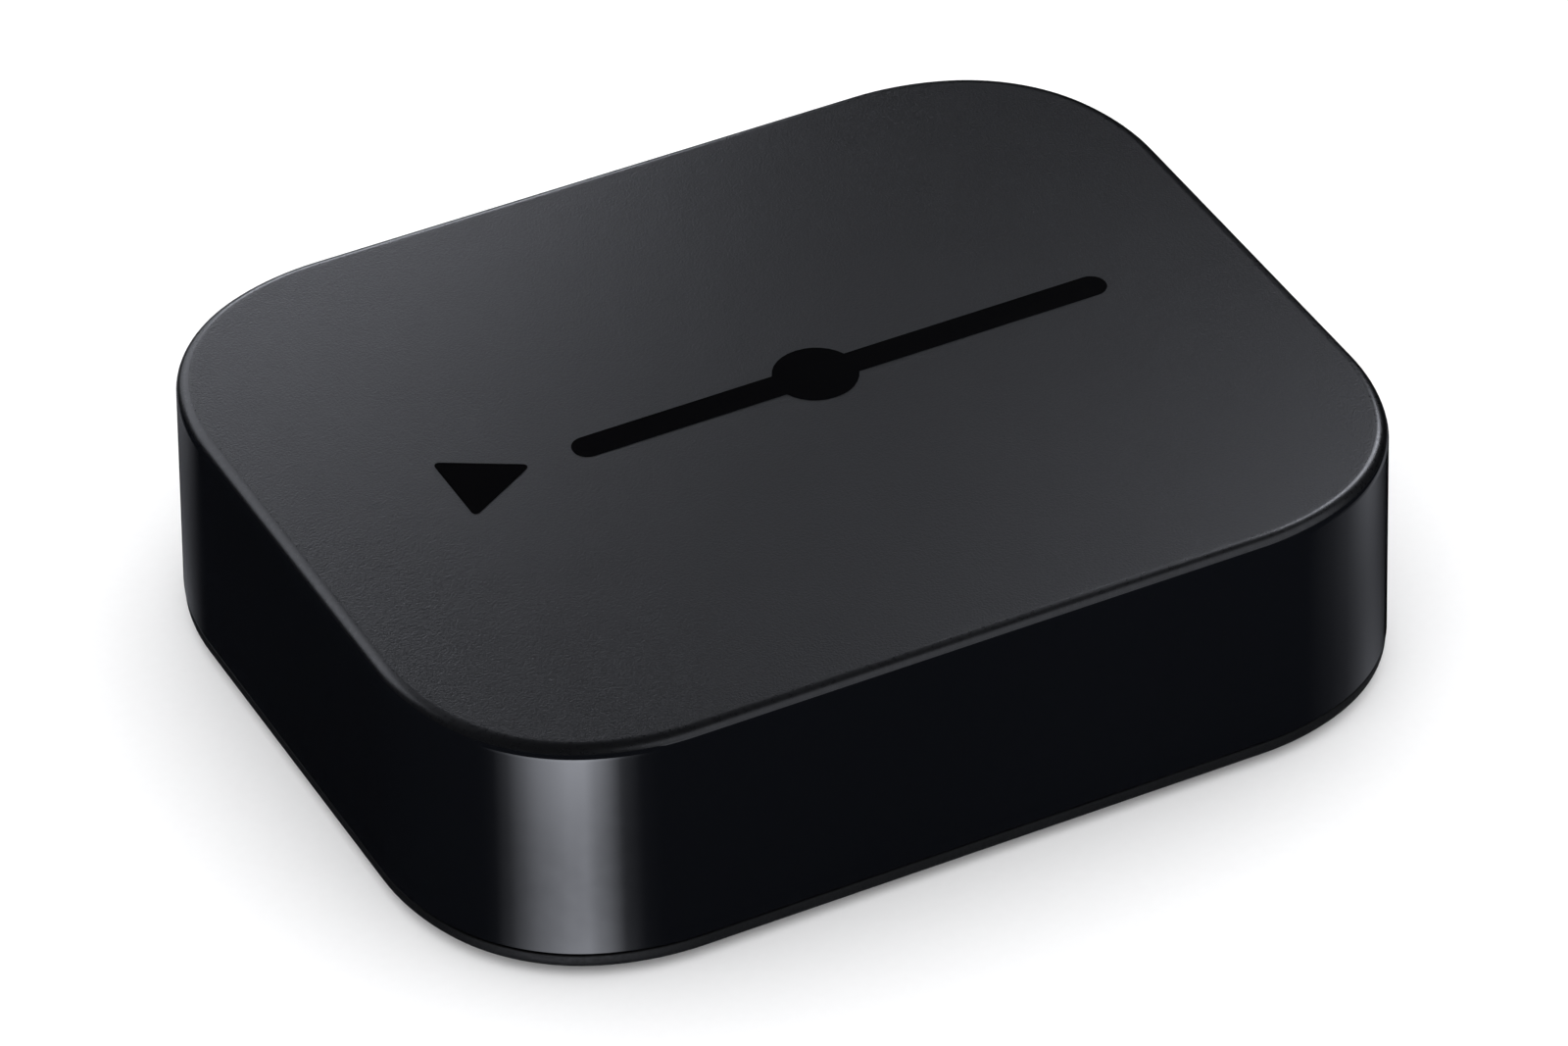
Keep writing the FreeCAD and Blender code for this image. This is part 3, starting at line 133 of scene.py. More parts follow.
class PlayerCoverSettings(bpy.types.PropertyGroup):
    rim: length("Rim", "Height of the edge that shows under the case", 1.08)
    inset: length("Inset", "Step in from the side wall", 0.05)
    edge_radius: length("Edge radius", "Rounding of the lower edge", 0.7)
    plate: length("Plate", "Thickness of the plate", 1.6)
    lip: length("Lip", "Thickness of the locating lip", 1.1)
    lip_height: length("Lip height", "Locating lip above the rim", 1.8)
    lip_gap: length("Lip gap", "Gap between the lip and the wall", 0.15)
    rim_soft: length("Rim softness", "Rounding of the rim's upper edge", 0.08)
    vent_width: length("Vent width", "Cooling slot along X", 1.2)
    vent_length: length("Vent length", "Cooling slot along Y", 10.0)
    vent_pitch: length("Vent pitch", "From one cooling slot to the next", 3.2)
    vent_y: length("Vent place", "Middle of the row of cooling slots", 9.0)
    vent_corner: length("Vent corner", "Corner of a cooling slot", 0.54)
    vent_count: bpy.props.IntProperty(name="Vents", description="Cooling slots in the row", default=8)
    recess: length("Label recess", "Depth of the recess for the label", 0.15)
    recess_edge: length("Recess edge", "Rounding of the edge of that recess", 0.075)
    margin: length("Label margin", "Recess past each edge of the label", 0.3)
    foot_gap: length("Foot gap", "Gap round a foot in its recess", 0.1)
    head_hole: length("Head hole", "Hole for the head of a screw", 4.2)
    shank_hole: length("Shank hole", "Hole for the shank of a screw", 2.3)
    seat: length("Seat", "Seat of a screw above the bottom of its head", 1.3)
    soft_edge: length("Soft edge", "Rounding of the edges of the openings", 0.12)
    black: colour("Black", "Matte black of the cover", "#090a0c")


class PlayerFootSettings(bpy.types.PropertyGroup):
    edge: length("Edge", "Rounding of the lower edge", 0.3)
    dish: length("Dish", "Depth of the hollow in the underside", 0.12)
    ring: length("Ring", "Ring round the hollow that stands on the table", 1.1)
    slope: length("Slope", "Sloping edge of the hollow", 0.6)
    land: length("Land", "Inner part of the ring, not quite down on the table", 0.2)
    rubber: colour("Rubber", "Silicone rubber of the feet", "#17181a")


class PlayerMarkSettings(bpy.types.PropertyGroup):
    corner: length("Corner", "Rounding of the triangle's corners", 0.55)
    gap: length("Gap", "Between the triangle and the bar", 2.6)
    bar: length("Bar", "Height of the bar", 1.9)
    knob: length("Knob", "Diameter of the knob", 5.0)
    progress: number("Progress", "Place of the knob, as a share of the bar", 0.45)
    ink: colour("Ink", "Printed ink of the emblem", "#050506")
    label_corner: length("Label corner", "Rounding of the label's corners", 1.0)
    film: colour("Film", "Polyester film of the label", "#1d1e21")


class PlayerSocketSettings(bpy.types.PropertyGroup):
    av_slant: length("Slant", "Slanted lower corner of the audio-video socket", 2.0)
    av_corner: length("Corner", "Rounding of its shell's corners", 0.6)
    av_sheet: length("Sheet", "Sheet metal of the audio-video socket", 0.45)
    power_sheet: length("Power sheet", "Sheet metal of the power socket", 0.3)
    spring_rise: length("Spring rise", "How far a contact spring stands into the socket", 0.28)
    spring_sheet: length("Spring sheet", "Thickness of a contact spring", 0.12)
    spring_width: length("Spring width", "Width of a contact spring", 1.6)
    spring_length: length("Spring length", "Length of a contact spring", 6.4)
    spring_in: length("Spring in", "From the mouth of the socket to its springs", 1.2)
    roof_spring: length("Roof springs", "Roof springs, off the middle of the socket", 3.2)
    floor_spring: length("Floor springs", "Floor springs, off the middle of the socket", 2.6)
    nickel: colour("Nickel", "Nickel plate of the shells", "#b9b4a8")
    gold: colour("Gold", "Gold plate of the contacts", "#e0b45c")


class PlayerButtonSettings(bpy.types.PropertyGroup):
    pin: length("Pin", "Diameter of the button's pin", 2.1)
    flange: length("Flange", "Thickness of its flange", 0.6)
    rounding: length("Rounding", "Rounding of the pin's end", 0.25)
    bend: length("Bend", "Bend radius of the light pipe", 2.2)
    dome: length("Dome", "Height of the domed end of the light pipe", 0.35)
    travel: length("Travel", "How far the button goes in", 0.25)
    dome_sheet: length("Dome sheet", "Thickness of the snap dome", 0.08)


class PlayerStageSettings(bpy.types.PropertyGroup):
    azimuth: angle("Azimuth", "Camera round from the front towards the left", 26.947)
    elevation: angle("Elevation", "Camera above the horizon", 37.538)
    roll: angle("Roll", "Camera turned about its own axis", -0.812)
    distance: length("Distance", "Camera to its target", 512.74)
    target: bpy.props.FloatVectorProperty(
        name="Target", description="Point that the camera looks at",
        default=(-0.554 * MM, -1.439 * MM, 8.0 * MM), subtype="TRANSLATION", unit="LENGTH", precision=5)
    lens: number("Lens", "Focal length in millimetres", 204.85)
    sensor: number("Sensor", "Width of the sensor in millimetres", 36)
    sweep: length("Sweep", "From the middle of the paper to its edge", 4000)
    floor: colour("Floor", "Pale paper sweep", "#f7f7f8")
    sky: number("Sky", "Strength of the soft white room", 1.4)


GROUPS = {
    "player_case": PlayerCaseSettings,
    "player_cover": PlayerCoverSettings,
    "player_foot": PlayerFootSettings,
    "player_mark": PlayerMarkSettings,
    "player_socket": PlayerSocketSettings,
    "player_button": PlayerButtonSettings,
    "player_stage": PlayerStageSettings,
}


# Materials


def add_node(tree, kind, inputs=(), **settings):
    """Add a node with its settings, and set or link its inputs."""
    node = tree.nodes.new(kind)
    for name, value in settings.items():
        setattr(node, name, value)
    for name, value in dict(inputs).items():
        if isinstance(value, bpy.types.NodeSocket):
            tree.links.new(value, node.inputs[name])
        else:
            node.inputs[name].default_value = value
    return node


def start_material(name):
    """Start an empty node material and return it with its tree and object coordinates."""
    material = bpy.data.materials.new(name)
    material.use_nodes = True
    tree = material.node_tree
    tree.nodes.clear()
    return material, tree, add_node(tree, "ShaderNodeTexCoord").outputs["Object"]


def finish_material(material, tree, shader):
    """Link the shader to the material's output and return the material."""
    add_node(tree, "ShaderNodeOutputMaterial", {"Surface": shader.outputs[0]})
    return material


def grain(tree, place, size, detail=2.0, stretch=None):
    """Return a noise pattern, 0 to 1, whose grains are size metres wide."""
    if stretch:
        place = add_node(tree, "ShaderNodeMapping", {"Vector": place, "Scale": stretch}).outputs[0]
    noise = add_node(tree, "ShaderNodeTexNoise", {"Vector": place, "Scale": 1 / size, "Detail": detail})
    return noise.outputs["Fac"]


def spread(tree, pattern, low, high):
    """Spread the middle of a pattern between two values."""
    levels = {"Value": pattern, "From Min": 0.3, "From Max": 0.7, "To Min": low, "To Max": high}
    return add_node(tree, "ShaderNodeMapRange", levels).outputs[0]


def blend(tree, pattern, low, high):
    """Blend two colours by a pattern."""
    mix = add_node(tree, "ShaderNodeMix", data_type="RGBA")
    tree.links.new(spread(tree, pattern, 0, 1), mix.inputs["Factor"])
    mix.inputs[6].default_value = (*low, 1.0)
    mix.inputs[7].default_value = (*high, 1.0)
    return mix.outputs[2]


def moulded(name, base, rough, size, depth, shade=1.25, ior=1.5, metal=0.0, stretch=None, **more):
    """Make a finish whose roughness and relief follow one fine grain, under a wide cloud of colour."""
    material, tree, place = start_material(name)
    pattern = grain(tree, place, size, stretch=stretch)
    cloud = grain(tree, place, 30 * size)
    relief = add_node(tree, "ShaderNodeBump", {"Height": pattern, "Distance": depth, "Strength": 1.0})
    settings = {
        "Base Color": blend(tree, cloud, base, tuple(min(1, c * shade) for c in base)),
        "Roughness": spread(tree, pattern, *rough),
        "Metallic": metal,
        "IOR": ior,
        "Normal": relief.outputs[0],
    }
    settings.update(more)
    return finish_material(material, tree, add_node(tree, "ShaderNodeBsdfPrincipled", settings))


def polished_abs():
    # ABS from a polished tool: near-black, with long sharp reflections and hardly any grain.
    return moulded("polished_abs", bpy.context.scene.player_case.black, (0.06, 0.08), 1.2 * MM, 0.00004 * MM)


def eroded_abs():
    # ABS from a spark-eroded tool: its fine grain spreads every light into a soft grey sheen.
    return moulded("eroded_abs", bpy.context.scene.player_case.black, (0.28, 0.44), 0.13 * MM, 0.016 * MM)


def satin_edge_abs():
    # The same ABS where the texture fades out over the rounded edge: satin, a soft line of light.
    return moulded("satin_edge_abs", bpy.context.scene.player_case.black, (0.26, 0.34), 0.3 * MM, 0.0004 * MM)


def matte_cover_abs():
    # ABS with a coarser matte texture: it looks dull and a little speckled beside the polished wall.
    # The pits of the texture shade each other, so it shines less than its IOR alone would give.
    return moulded(
        "matte_cover_abs", bpy.context.scene.player_cover.black, (0.5, 0.7), 0.22 * MM, 0.012 * MM,
        **{"Specular IOR Level": 0.28})


def printed_ink():
    # Pad-printed gloss ink: the blackest thing on the case, level and smooth.
    return moulded("printed_ink", bpy.context.scene.player_mark.ink, (0.05, 0.08), 0.8 * MM, 0.0004 * MM)


def silicone_rubber():
    # Compression-moulded silicone: satin, soft looking, with a faint dusty bloom.
    return moulded(
        "silicone_rubber", bpy.context.scene.player_foot.rubber, (0.55, 0.75), 0.3 * MM, 0.006 * MM, 1.6,
        1.41, **{"Sheen Weight": 0.15})


def polyester_film():
    # Matte polyester label stock: flat, grey-black, with a paper-fine tooth.
    film = bpy.context.scene.player_mark.film
    return moulded("polyester_film", film, (0.42, 0.5), 0.2 * MM, 0.001 * MM, 1.15, 1.57)


def nickel_plate():
    # Nickel plate over stamped steel: warm silver, with the sheet's rolling lines along Y.
    nickel = bpy.context.scene.player_socket.nickel
    lines = (1.0, 0.06, 1.0)
    return moulded("nickel_plate", nickel, (0.25, 0.4), 0.12 * MM, 0.0006 * MM, 1.1, metal=1.0, stretch=lines)


def gold_plate():
    # Hard gold over nickel on bronze: satin yellow contact strips.
    gold = bpy.context.scene.player_socket.gold
    return moulded("gold_plate", gold, (0.2, 0.3), 0.1 * MM, 0.0004 * MM, 1.1, metal=1.0)


def filled_nylon():
    # Glass-filled nylon: black with a dry bloom and flecks of fibre.
    return moulded("filled_nylon", linear("#141516"), (0.45, 0.65), 0.12 * MM, 0.003 * MM, 1.8, 1.53)


def button_abs():
    # ABS pin turned out of a plain tool: satin black.
    return moulded("button_abs", linear("#1a1b1e"), (0.22, 0.34), 0.2 * MM, 0.001 * MM, 1.3)


def zinc_plate():
    # Bright zinc plate: bluish silver with crystalline patches.
    return moulded("zinc_plate", linear("#b9bec6"), (0.22, 0.4), 0.35 * MM, 0.001 * MM, 1.15, metal=1.0)


def tin_plate():
    # Tin-plated sheet: soft grey reflections and rolling lines.
    grey = linear("#bdbcb6")
    lines = (0.08, 1.0, 1.0)
    return moulded("tin_plate", grey, (0.25, 0.42), 0.15 * MM, 0.0008 * MM, 1.1, metal=1.0, stretch=lines)


def extruded_aluminium():
    # Mill-finish extrusion: pale grey with die lines along the fins.
    grey = linear("#c3c6c9")
    lines = (1.0, 0.03, 1.0)
    return moulded(
        "extruded_aluminium", grey, (0.32, 0.5), 0.15 * MM, 0.001 * MM, 1.1, metal=1.0, stretch=lines)


def epoxy_moulding():
    # Transfer-moulded epoxy with silica filler: charcoal, satin, finely pitted.
    return moulded("epoxy_moulding", linear("#232426"), (0.42, 0.6), 0.12 * MM, 0.002 * MM, 1.5, 1.55)


def fired_ceramic():
    # Fired ceramic and tantalum bodies: tan and slightly mottled.
    return moulded("fired_ceramic", linear("#9c8063"), (0.4, 0.6), 0.3 * MM, 0.002 * MM, 1.3, 1.7)


def thermal_gap_pad():
    # Filled silicone gap pad: pale blue-grey putty with a knitted tooth.
    return moulded("thermal_gap_pad", linear("#9aa3b8"), (0.65, 0.85), 0.4 * MM, 0.01 * MM, 1.15, 1.41)


def polyimide_film():
    # Polyimide film over copper: brown-black with copper showing through in patches.
    return moulded("polyimide_film", linear("#2e2415"), (0.25, 0.4), 0.5 * MM, 0.001 * MM, 2.2, 1.7)


def coaxial_jacket():
    # Extruded fluoropolymer jacket: smooth grey-black with fine drawing lines.
    return moulded("coaxial_jacket", linear("#26272a"), (0.28, 0.42), 0.2 * MM, 0.001 * MM, 1.3, 1.35)


def phosphor_resin():
    # Silicone with phosphor over the die: creamy yellow, milky.
    cream = linear("#e6d99a")
    return moulded(
        "phosphor_resin", cream, (0.25, 0.35), 0.2 * MM, 0.001 * MM, 1.1, 1.5, **{"Subsurface Weight": 0.2})


def moulded_acrylic():
    # Moulded acrylic light pipe: clear, with a faintly frosted end that reads as milky grey.
    material, tree, place = start_material("moulded_acrylic")
    frost = grain(tree, place, 0.2 * MM)
    relief = add_node(tree, "ShaderNodeBump", {"Height": frost, "Distance": 0.001 * MM})
    settings = {
        "Base Color": blend(tree, frost, linear("#dfe3e6"), linear("#f2f4f5")),
        "Roughness": spread(tree, frost, 0.18, 0.34),
        "IOR": 1.49,
        "Transmission Weight": 0.6,
        "Normal": relief.outputs[0],
    }
    return finish_material(material, tree, add_node(tree, "ShaderNodeBsdfPrincipled", settings))


def solder_mask():
    # Green-black solder mask over copper: darker bare laminate between slightly raised, lighter tracks.
    material, tree, place = start_material("solder_mask")
    tracks = add_node(tree, "ShaderNodeTexBrick", {
        "Vector": place, "Scale": 1.0, "Brick Width": 3.1 * MM, "Row Height": 0.45 * MM,
        "Mortar Size": 0.09 * MM, "Mortar Smooth": 0.2, "Color1": (1, 1, 1, 1), "Color2": (0.8, 0.8, 0.8, 1),
        "Mortar": (0, 0, 0, 1),
    })
    copper = tracks.outputs["Color"]
    weave = grain(tree, place, 0.25 * MM)
    level = add_node(tree, "ShaderNodeMath", {0: copper, 1: weave}, operation="ADD").outputs[0]
    relief = add_node(tree, "ShaderNodeBump", {"Height": level, "Distance": 0.02 * MM})
    settings = {
        "Base Color": blend(tree, copper, linear("#0d2417"), linear("#1c4a2c")),
        "Roughness": spread(tree, weave, 0.22, 0.36),
        "IOR": 1.55,
        "Normal": relief.outputs[0],
    }
    return finish_material(material, tree, add_node(tree, "ShaderNodeBsdfPrincipled", settings))


# The maker of each material slot of the record.
FINISHES = {
    "textured_black_shell": polished_abs,
    "matte_black_cover": matte_cover_abs,
    "gloss_ink": printed_ink,
    "foot_rubber": silicone_rubber,
    "zinc_steel": zinc_plate,
    "label_film": polyester_film,
    "circuit_board": solder_mask,
    "chip_epoxy": epoxy_moulding,
    "tinned_steel": tin_plate,
    "ceramic": fired_ceramic,
    "thermal_silicone": thermal_gap_pad,
    "aluminium": extruded_aluminium,
    "nickel_steel": nickel_plate,
    "black_nylon": filled_nylon,
    "gold_contact": gold_plate,
    "clear_acrylic": moulded_acrylic,
    "led_resin": phosphor_resin,
    "button_plastic": button_abs,
    "antenna_film": polyimide_film,
    "lead_jacket": coaxial_jacket,
}


def material_of(maker):
    """Return a finish, made once."""
    return bpy.data.materials.get(maker.__name__) or maker()


# Modelling


def measure(node):
    """The lowest corner, the middle and the size of a node's box."""
    low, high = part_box(node)
    return low, (low + high) / 2, high - low


def vertices_of(edges):
    return list({vertex for edge in edges for vertex in edge.verts})


def move_by(bm, geometry, vector):
    """Move the vertices among the geometry that an operator has returned."""
    vertices = [item for item in geometry if isinstance(item, bmesh.types.BMVert)]
    bmesh.ops.translate(bm, verts=vertices, vec=vector)


def draw_out(bm, edges, vector):
    """Extrude edges by a vector and return the edges at the far end."""
    drawn = bmesh.ops.extrude_edge_only(bm, edges=edges)["geom"]
    move_by(bm, drawn, vector)
    ends = {item for item in drawn if isinstance(item, bmesh.types.BMVert)}
    return [item for item in drawn if isinstance(item, bmesh.types.BMEdge) and set(item.verts) <= ends]


def spin_edges(bm, edges, centre, turn, steps, axis=(0, 0, 1)):
    """Spin edges about a point and return the edges at the far end."""
    spun = bmesh.ops.spin(
        bm, geom=vertices_of(edges) + edges, cent=centre, axis=axis, angle=turn, steps=steps,
        use_duplicate=False)
    return [item for item in spun["geom_last"] if isinstance(item, bmesh.types.BMEdge)]


def spin_round(bm, edges, steps):
    """Spin edges a full circle about Z."""
    bmesh.ops.spin(
        bm, geom=vertices_of(edges) + edges, cent=(0, 0, 0), axis=(0, 0, 1), angle=2 * math.pi, steps=steps,
        use_merge=True, use_duplicate=False)


def add_section(bm, points):
    """Add a chain of edges through points."""
    vertices = [bm.verts.new(point) for point in points]
    return [bm.edges.new(pair) for pair in zip(vertices, vertices[1:])]


def arc_points(centre, radius, start, end, steps):
    """Points on an arc in a section's plane, both ends included."""
    turns = (start + (end - start) * step / steps for step in range(steps + 1))
    return [(centre[0] + radius * math.cos(turn), centre[1] + radius * math.sin(turn)) for turn in turns]


def sweep_outline(bm, section):
    """Sweep a section of (inset, height) points round the case's outline and close both open rings.

    A quarter is drawn along half an end, spun through the corner's three arcs and drawn on to the
    middle of a side. Mirrors make the rest.
    """
    case = bpy.context.scene.player_case
    turn = case.end_turn
    shift = case.end_radius - case.middle_radius
    middle_in = case.end_radius - shift * math.cos(turn)
    reach = middle_in + shift * math.sin(turn)
    half_x, half_y = CASE_HIGH.x, CASE_HIGH.y
    edges = add_section(bm, [(half_x - inset, 0, height) for inset, height in section])
    edges = draw_out(bm, edges, (0, half_y - reach, 0))
    arcs = (
        ((half_x - case.end_radius, half_y - reach, 0), turn, 9),
        ((half_x - middle_in, half_y - middle_in, 0), math.pi / 2 - 2 * turn, 18),
        ((half_x - reach, half_y - case.end_radius, 0), turn, 9),
    )
    for centre, angle_turned, steps in arcs:
        edges = spin_edges(bm, edges, centre, angle_turned, steps)
    draw_out(bm, edges, (reach - half_x, 0, 0))
    for axis in "XY":
        quarter = bm.verts[:] + bm.edges[:] + bm.faces[:]
        bmesh.ops.mirror(bm, geom=quarter, axis=axis, merge_dist=WELD)
    bmesh.ops.remove_doubles(bm, verts=bm.verts, dist=WELD)
    rims = [edge for edge in bm.edges if edge.is_boundary]
    bmesh.ops.holes_fill(bm, edges=rims, sides=0)
    bmesh.ops.recalc_face_normals(bm, faces=bm.faces)


def rectangle(width, height):
    """A rectangle as a shape: a function that gives its corners when it has grown by an offset."""
    def corners(grow):
        x, y = width / 2 + grow, height / 2 + grow
        return ((-x, -y), (x, -y), (x, y), (-x, y))
    return corners


def slanted(width, height, slant):
    """A rectangle with its two lower corners slanted, as a shape."""
    def corners(grow):
        x, y = width / 2 + grow, height / 2 + grow
        cut = slant + (2 - math.sqrt(2)) * grow
        return ((cut - x, -y), (x - cut, -y), (x, cut - y), (x, y), (-x, y), (-x, cut - y))
    return corners


def grown(shape, by):
    """A shape that is larger all round."""
    return lambda grow: shape(by + grow)


def add_ring(bm, corners, rounding, place):
    """Add a ring, the outline of a flat shape with rounded corners, and return its edges."""
    others = set(bm.edges)
    face = bm.faces.new([bm.verts.new(place @ Vector((x, y, 0))) for x, y in corners])
    bmesh.ops.bevel(
        bm, geom=face.verts[:], offset=rounding, offset_type="OFFSET", affect="VERTICES",
        segments=ROUNDING_STEPS, profile=0.5, material=-1)
    ring = [edge for edge in bm.edges if edge not in others]
    flat = {face for edge in ring for face in edge.link_faces}
    bmesh.ops.delete(bm, geom=list(flat), context="FACES_ONLY")
    return ring


def loft(bm, rings, closed=False):
    """Bridge each ring to the next, and cap both ends unless the rings close on themselves."""
    following = rings[1:] + rings[:1] if closed else rings[1:]
    for ring, after in zip(rings, following):
        bmesh.ops.bridge_loops(bm, edges=ring + after)
    if not closed:
        for ring in (rings[0], rings[-1]):
            bmesh.ops.edgeloop_fill(bm, edges=ring)


def add_rings(bm, shape, rounding, place, levels):
    """Add a ring at each (grow, level) of a place: how much larger it is, and how far along Z."""
    return [
        add_ring(bm, shape(grow), rounding + grow, place @ Matrix.Translation((0, 0, level)))
        for grow, level in levels
    ]


def add_slab(bm, shape, rounding, point, thick):
    """Add a flat slab, the origin of its shape set down on a point."""
    loft(bm, add_rings(bm, shape, rounding, Matrix.Translation(point), ((0, 0), (0, thick))))


def add_opening(bm, shape, rounding, place, depth, edge):
    """Add a cutter that leaves a quarter round, of radius edge, where it meets the place's XY plane."""
    levels = [(0, -depth)] + arc_points((edge, -edge), edge, math.pi, math.pi / 2, EDGE_STEPS)
    levels += [(edge, depth)]
    loft(bm, add_rings(bm, shape, rounding, place, levels))


def add_turned(bm, profile, place):
    """Turn a profile of (radius, height) points, from axis to axis, a full circle about the place's Z."""
    others = set(bm.verts)
    spin_round(bm, add_section(bm, [(radius, 0, height) for radius, height in profile]), TURN_STEPS)
    turned = [vertex for vertex in bm.verts if vertex not in others]
    bmesh.ops.remove_doubles(bm, verts=turned, dist=WELD)
    turned = [vertex for vertex in bm.verts if vertex not in others]
    bmesh.ops.transform(bm, matrix=place, verts=turned)


def facing_rear(x, y, z, lean=0.0):
    """A place whose X is the frame's X, whose Y is up and whose Z points out of the rear wall."""
    return Matrix(((1, 0, 0, x), (0, -lean, 1, y), (0, 1, 0, z), (0, 0, 0, 1)))


def facing_down(x, y, z):
    """A place whose Z points down out of the underside."""
    return Matrix(((1, 0, 0, x), (0, 1, 0, y), (0, 0, -1, z), (0, 0, 0, 1)))


def make_object(name, bm, makers):
    """Make an object from a bmesh, with its faces pointing out, and give it its finishes."""
    bmesh.ops.recalc_face_normals(bm, faces=bm.faces)
    mesh = bpy.data.meshes.new(name)
    bm.to_mesh(mesh)
    bm.free()
    for maker in makers:
        mesh.materials.append(material_of(maker))
    piece = bpy.data.objects.new(name, mesh)
    bpy.context.scene.collection.objects.link(piece)
    return piece


def combine(piece, bm, operation, makers):
    """Cut a tool out of a piece, or join it on, and keep the result as the piece's own mesh."""
    for face in bm.faces:
        face.material_index = len(makers) - 1
    tool = make_object("tool", bm, makers)
    modifier = piece.modifiers.new("combine", "BOOLEAN")
    modifier.object = tool
    modifier.operation = operation
    modifier.solver = "EXACT"
    graph = bpy.context.evaluated_depsgraph_get()
    before = piece.data
    count = len(before.polygons)
    mesh = bpy.data.meshes.new_from_object(piece.evaluated_get(graph))
    piece.modifiers.clear()
    piece.data = mesh
    tools_mesh = tool.data
    bpy.data.objects.remove(tool)
    bpy.data.meshes.remove(tools_mesh)
    bpy.data.meshes.remove(before)
    if len(mesh.polygons) <= count / 2:
        raise RuntimeError(f"{piece.name} lost its faces when it was combined")
    mesh.name = piece.name


def finish_piece(piece, body, nodes, sharp=32):
    """Shade a piece, hang it on the empty of the body that it rides on, and hide the nodes that it stands
    for.
    """
    mesh = piece.data
    mesh.shade_smooth()
    mesh.set_sharp_from_angle(angle=math.radians(sharp))
    even = piece.modifiers.new("even_normals", "WEIGHTED_NORMAL")
    even.keep_sharp = True
    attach(piece, body)
    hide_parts(*nodes)


# Pieces


def screw_places():
    """The four screw axes, as (x, y)."""
    case = bpy.context.scene.player_case
    x, y = CASE_HIGH.x - case.screw_in_x, CASE_HIGH.y - case.screw_in_y
    return [(sign_x * x, sign_y * y) for sign_x in (-1, 1) for sign_y in (-1, 1)]


def add_at_screws(bm, profile):
    """Turn a profile about each screw axis."""
    for x, y in screw_places():
        add_turned(bm, profile, Matrix.Translation((x, y, 0)))


def socket_form(kind, av_corner):
    """The outer shape of a socket's shell, the rounding of its corners and its middle."""
    _, middle, size = measure(f"{kind}_socket_shell")
    if kind == "av":
        slant = bpy.context.scene.player_socket.av_slant
        return slanted(size.x, size.z, slant), av_corner, middle
    return rectangle(size.x, size.z), ROUND_END * size.z, middle


class PLAYER_OT_case(bpy.types.Operator):
    """Build the top case: a drafted wall, a rounded top edge, its bosses and its rear openings"""
    bl_idname = "player.case"
    bl_label = "Top case"

    def execute(self, context):
        case = context.scene.player_case
        makers = (eroded_abs, satin_edge_abs, polished_abs)
        piece = make_object("case_shell", self.shell(case), makers)
        combine(piece, self.bosses(case), "UNION", makers)
        combine(piece, self.openings(case), "DIFFERENCE", makers)
        finish_piece(piece, "case", ["top_case"])
        return {"FINISHED"}

    def shell(self, case):
        """The wall and the roof, textured on top, satin over the edge and polished down the side."""
        low, top = CASE_LOW.z, CASE_HIGH.z
        radius = case.top_radius
        inward = math.tan(case.draft) * (top - radius - low) + radius / math.cos(case.draft)
        foot = (case.foot_radius, low + case.foot_radius)
        ceiling = top - case.roof
        section = [(inward + radius / 4, top)]
        section += arc_points((inward, top - radius), radius, math.pi / 2, math.pi - case.draft, steps=12)
        section += arc_points(foot, case.foot_radius, math.pi, 1.5 * math.pi, EDGE_STEPS)
        section += [(case.wall, low), (case.wall, ceiling), (2 * case.wall, ceiling)]
        bm = bmesh.new()
        sweep_outline(bm, section)
        for face in bm.faces:
            below = top - face.calc_center_median().z
            face.material_index = 0 if below < WELD else 1 if below < case.satin else 2
        return bm

    def bosses(self, case):
        """The four screw bosses, from the board up into the roof, bored from below."""
        outer, inner = case.boss / 2, case.bore / 2
        bored, top = BOARD_TOP + case.bore_depth, CASE_HIGH.z - case.roof + BITE
        bm = bmesh.new()
        add_at_screws(bm, (
            (0, bored), (inner, bored), (inner, BOARD_TOP), (outer, BOARD_TOP), (outer, top), (0, top)))
        return bm

    def openings(self, case):
        """The cutters of the two sockets, the reset button and the light pipe."""
        bm = bmesh.new()
        gap = case.port_gap
        for kind in ("av", "power"):
            shape, corner, middle = socket_form(kind, case.av_corner)
            self.add_port(bm, grown(shape, gap), corner + gap, middle)
        width = bpy.context.scene.player_button.pin + 2 * case.button_gap
        _, middle, _ = measure("reset_button")
        self.add_port(bm, rectangle(width, width), ROUND_END * width, middle)
        low, middle, size = measure("light_pipe")
        width = size.x + 2 * case.light_gap
        middle.z = low.z + size.z + case.light_gap - width / 2
        self.add_port(bm, rectangle(width, width), ROUND_END * width, middle)
        return bm

    def add_port(self, bm, shape, rounding, middle):
        """Add the cutter of one opening in the leaning rear wall."""
        case = bpy.context.scene.player_case
        slope = math.tan(case.draft)
        y = CASE_HIGH.y - slope * (middle.z - CASE_LOW.z)
        place = facing_rear(middle.x, y, middle.z, slope)
        add_opening(bm, shape, rounding, place, case.port_depth, case.port_edge)


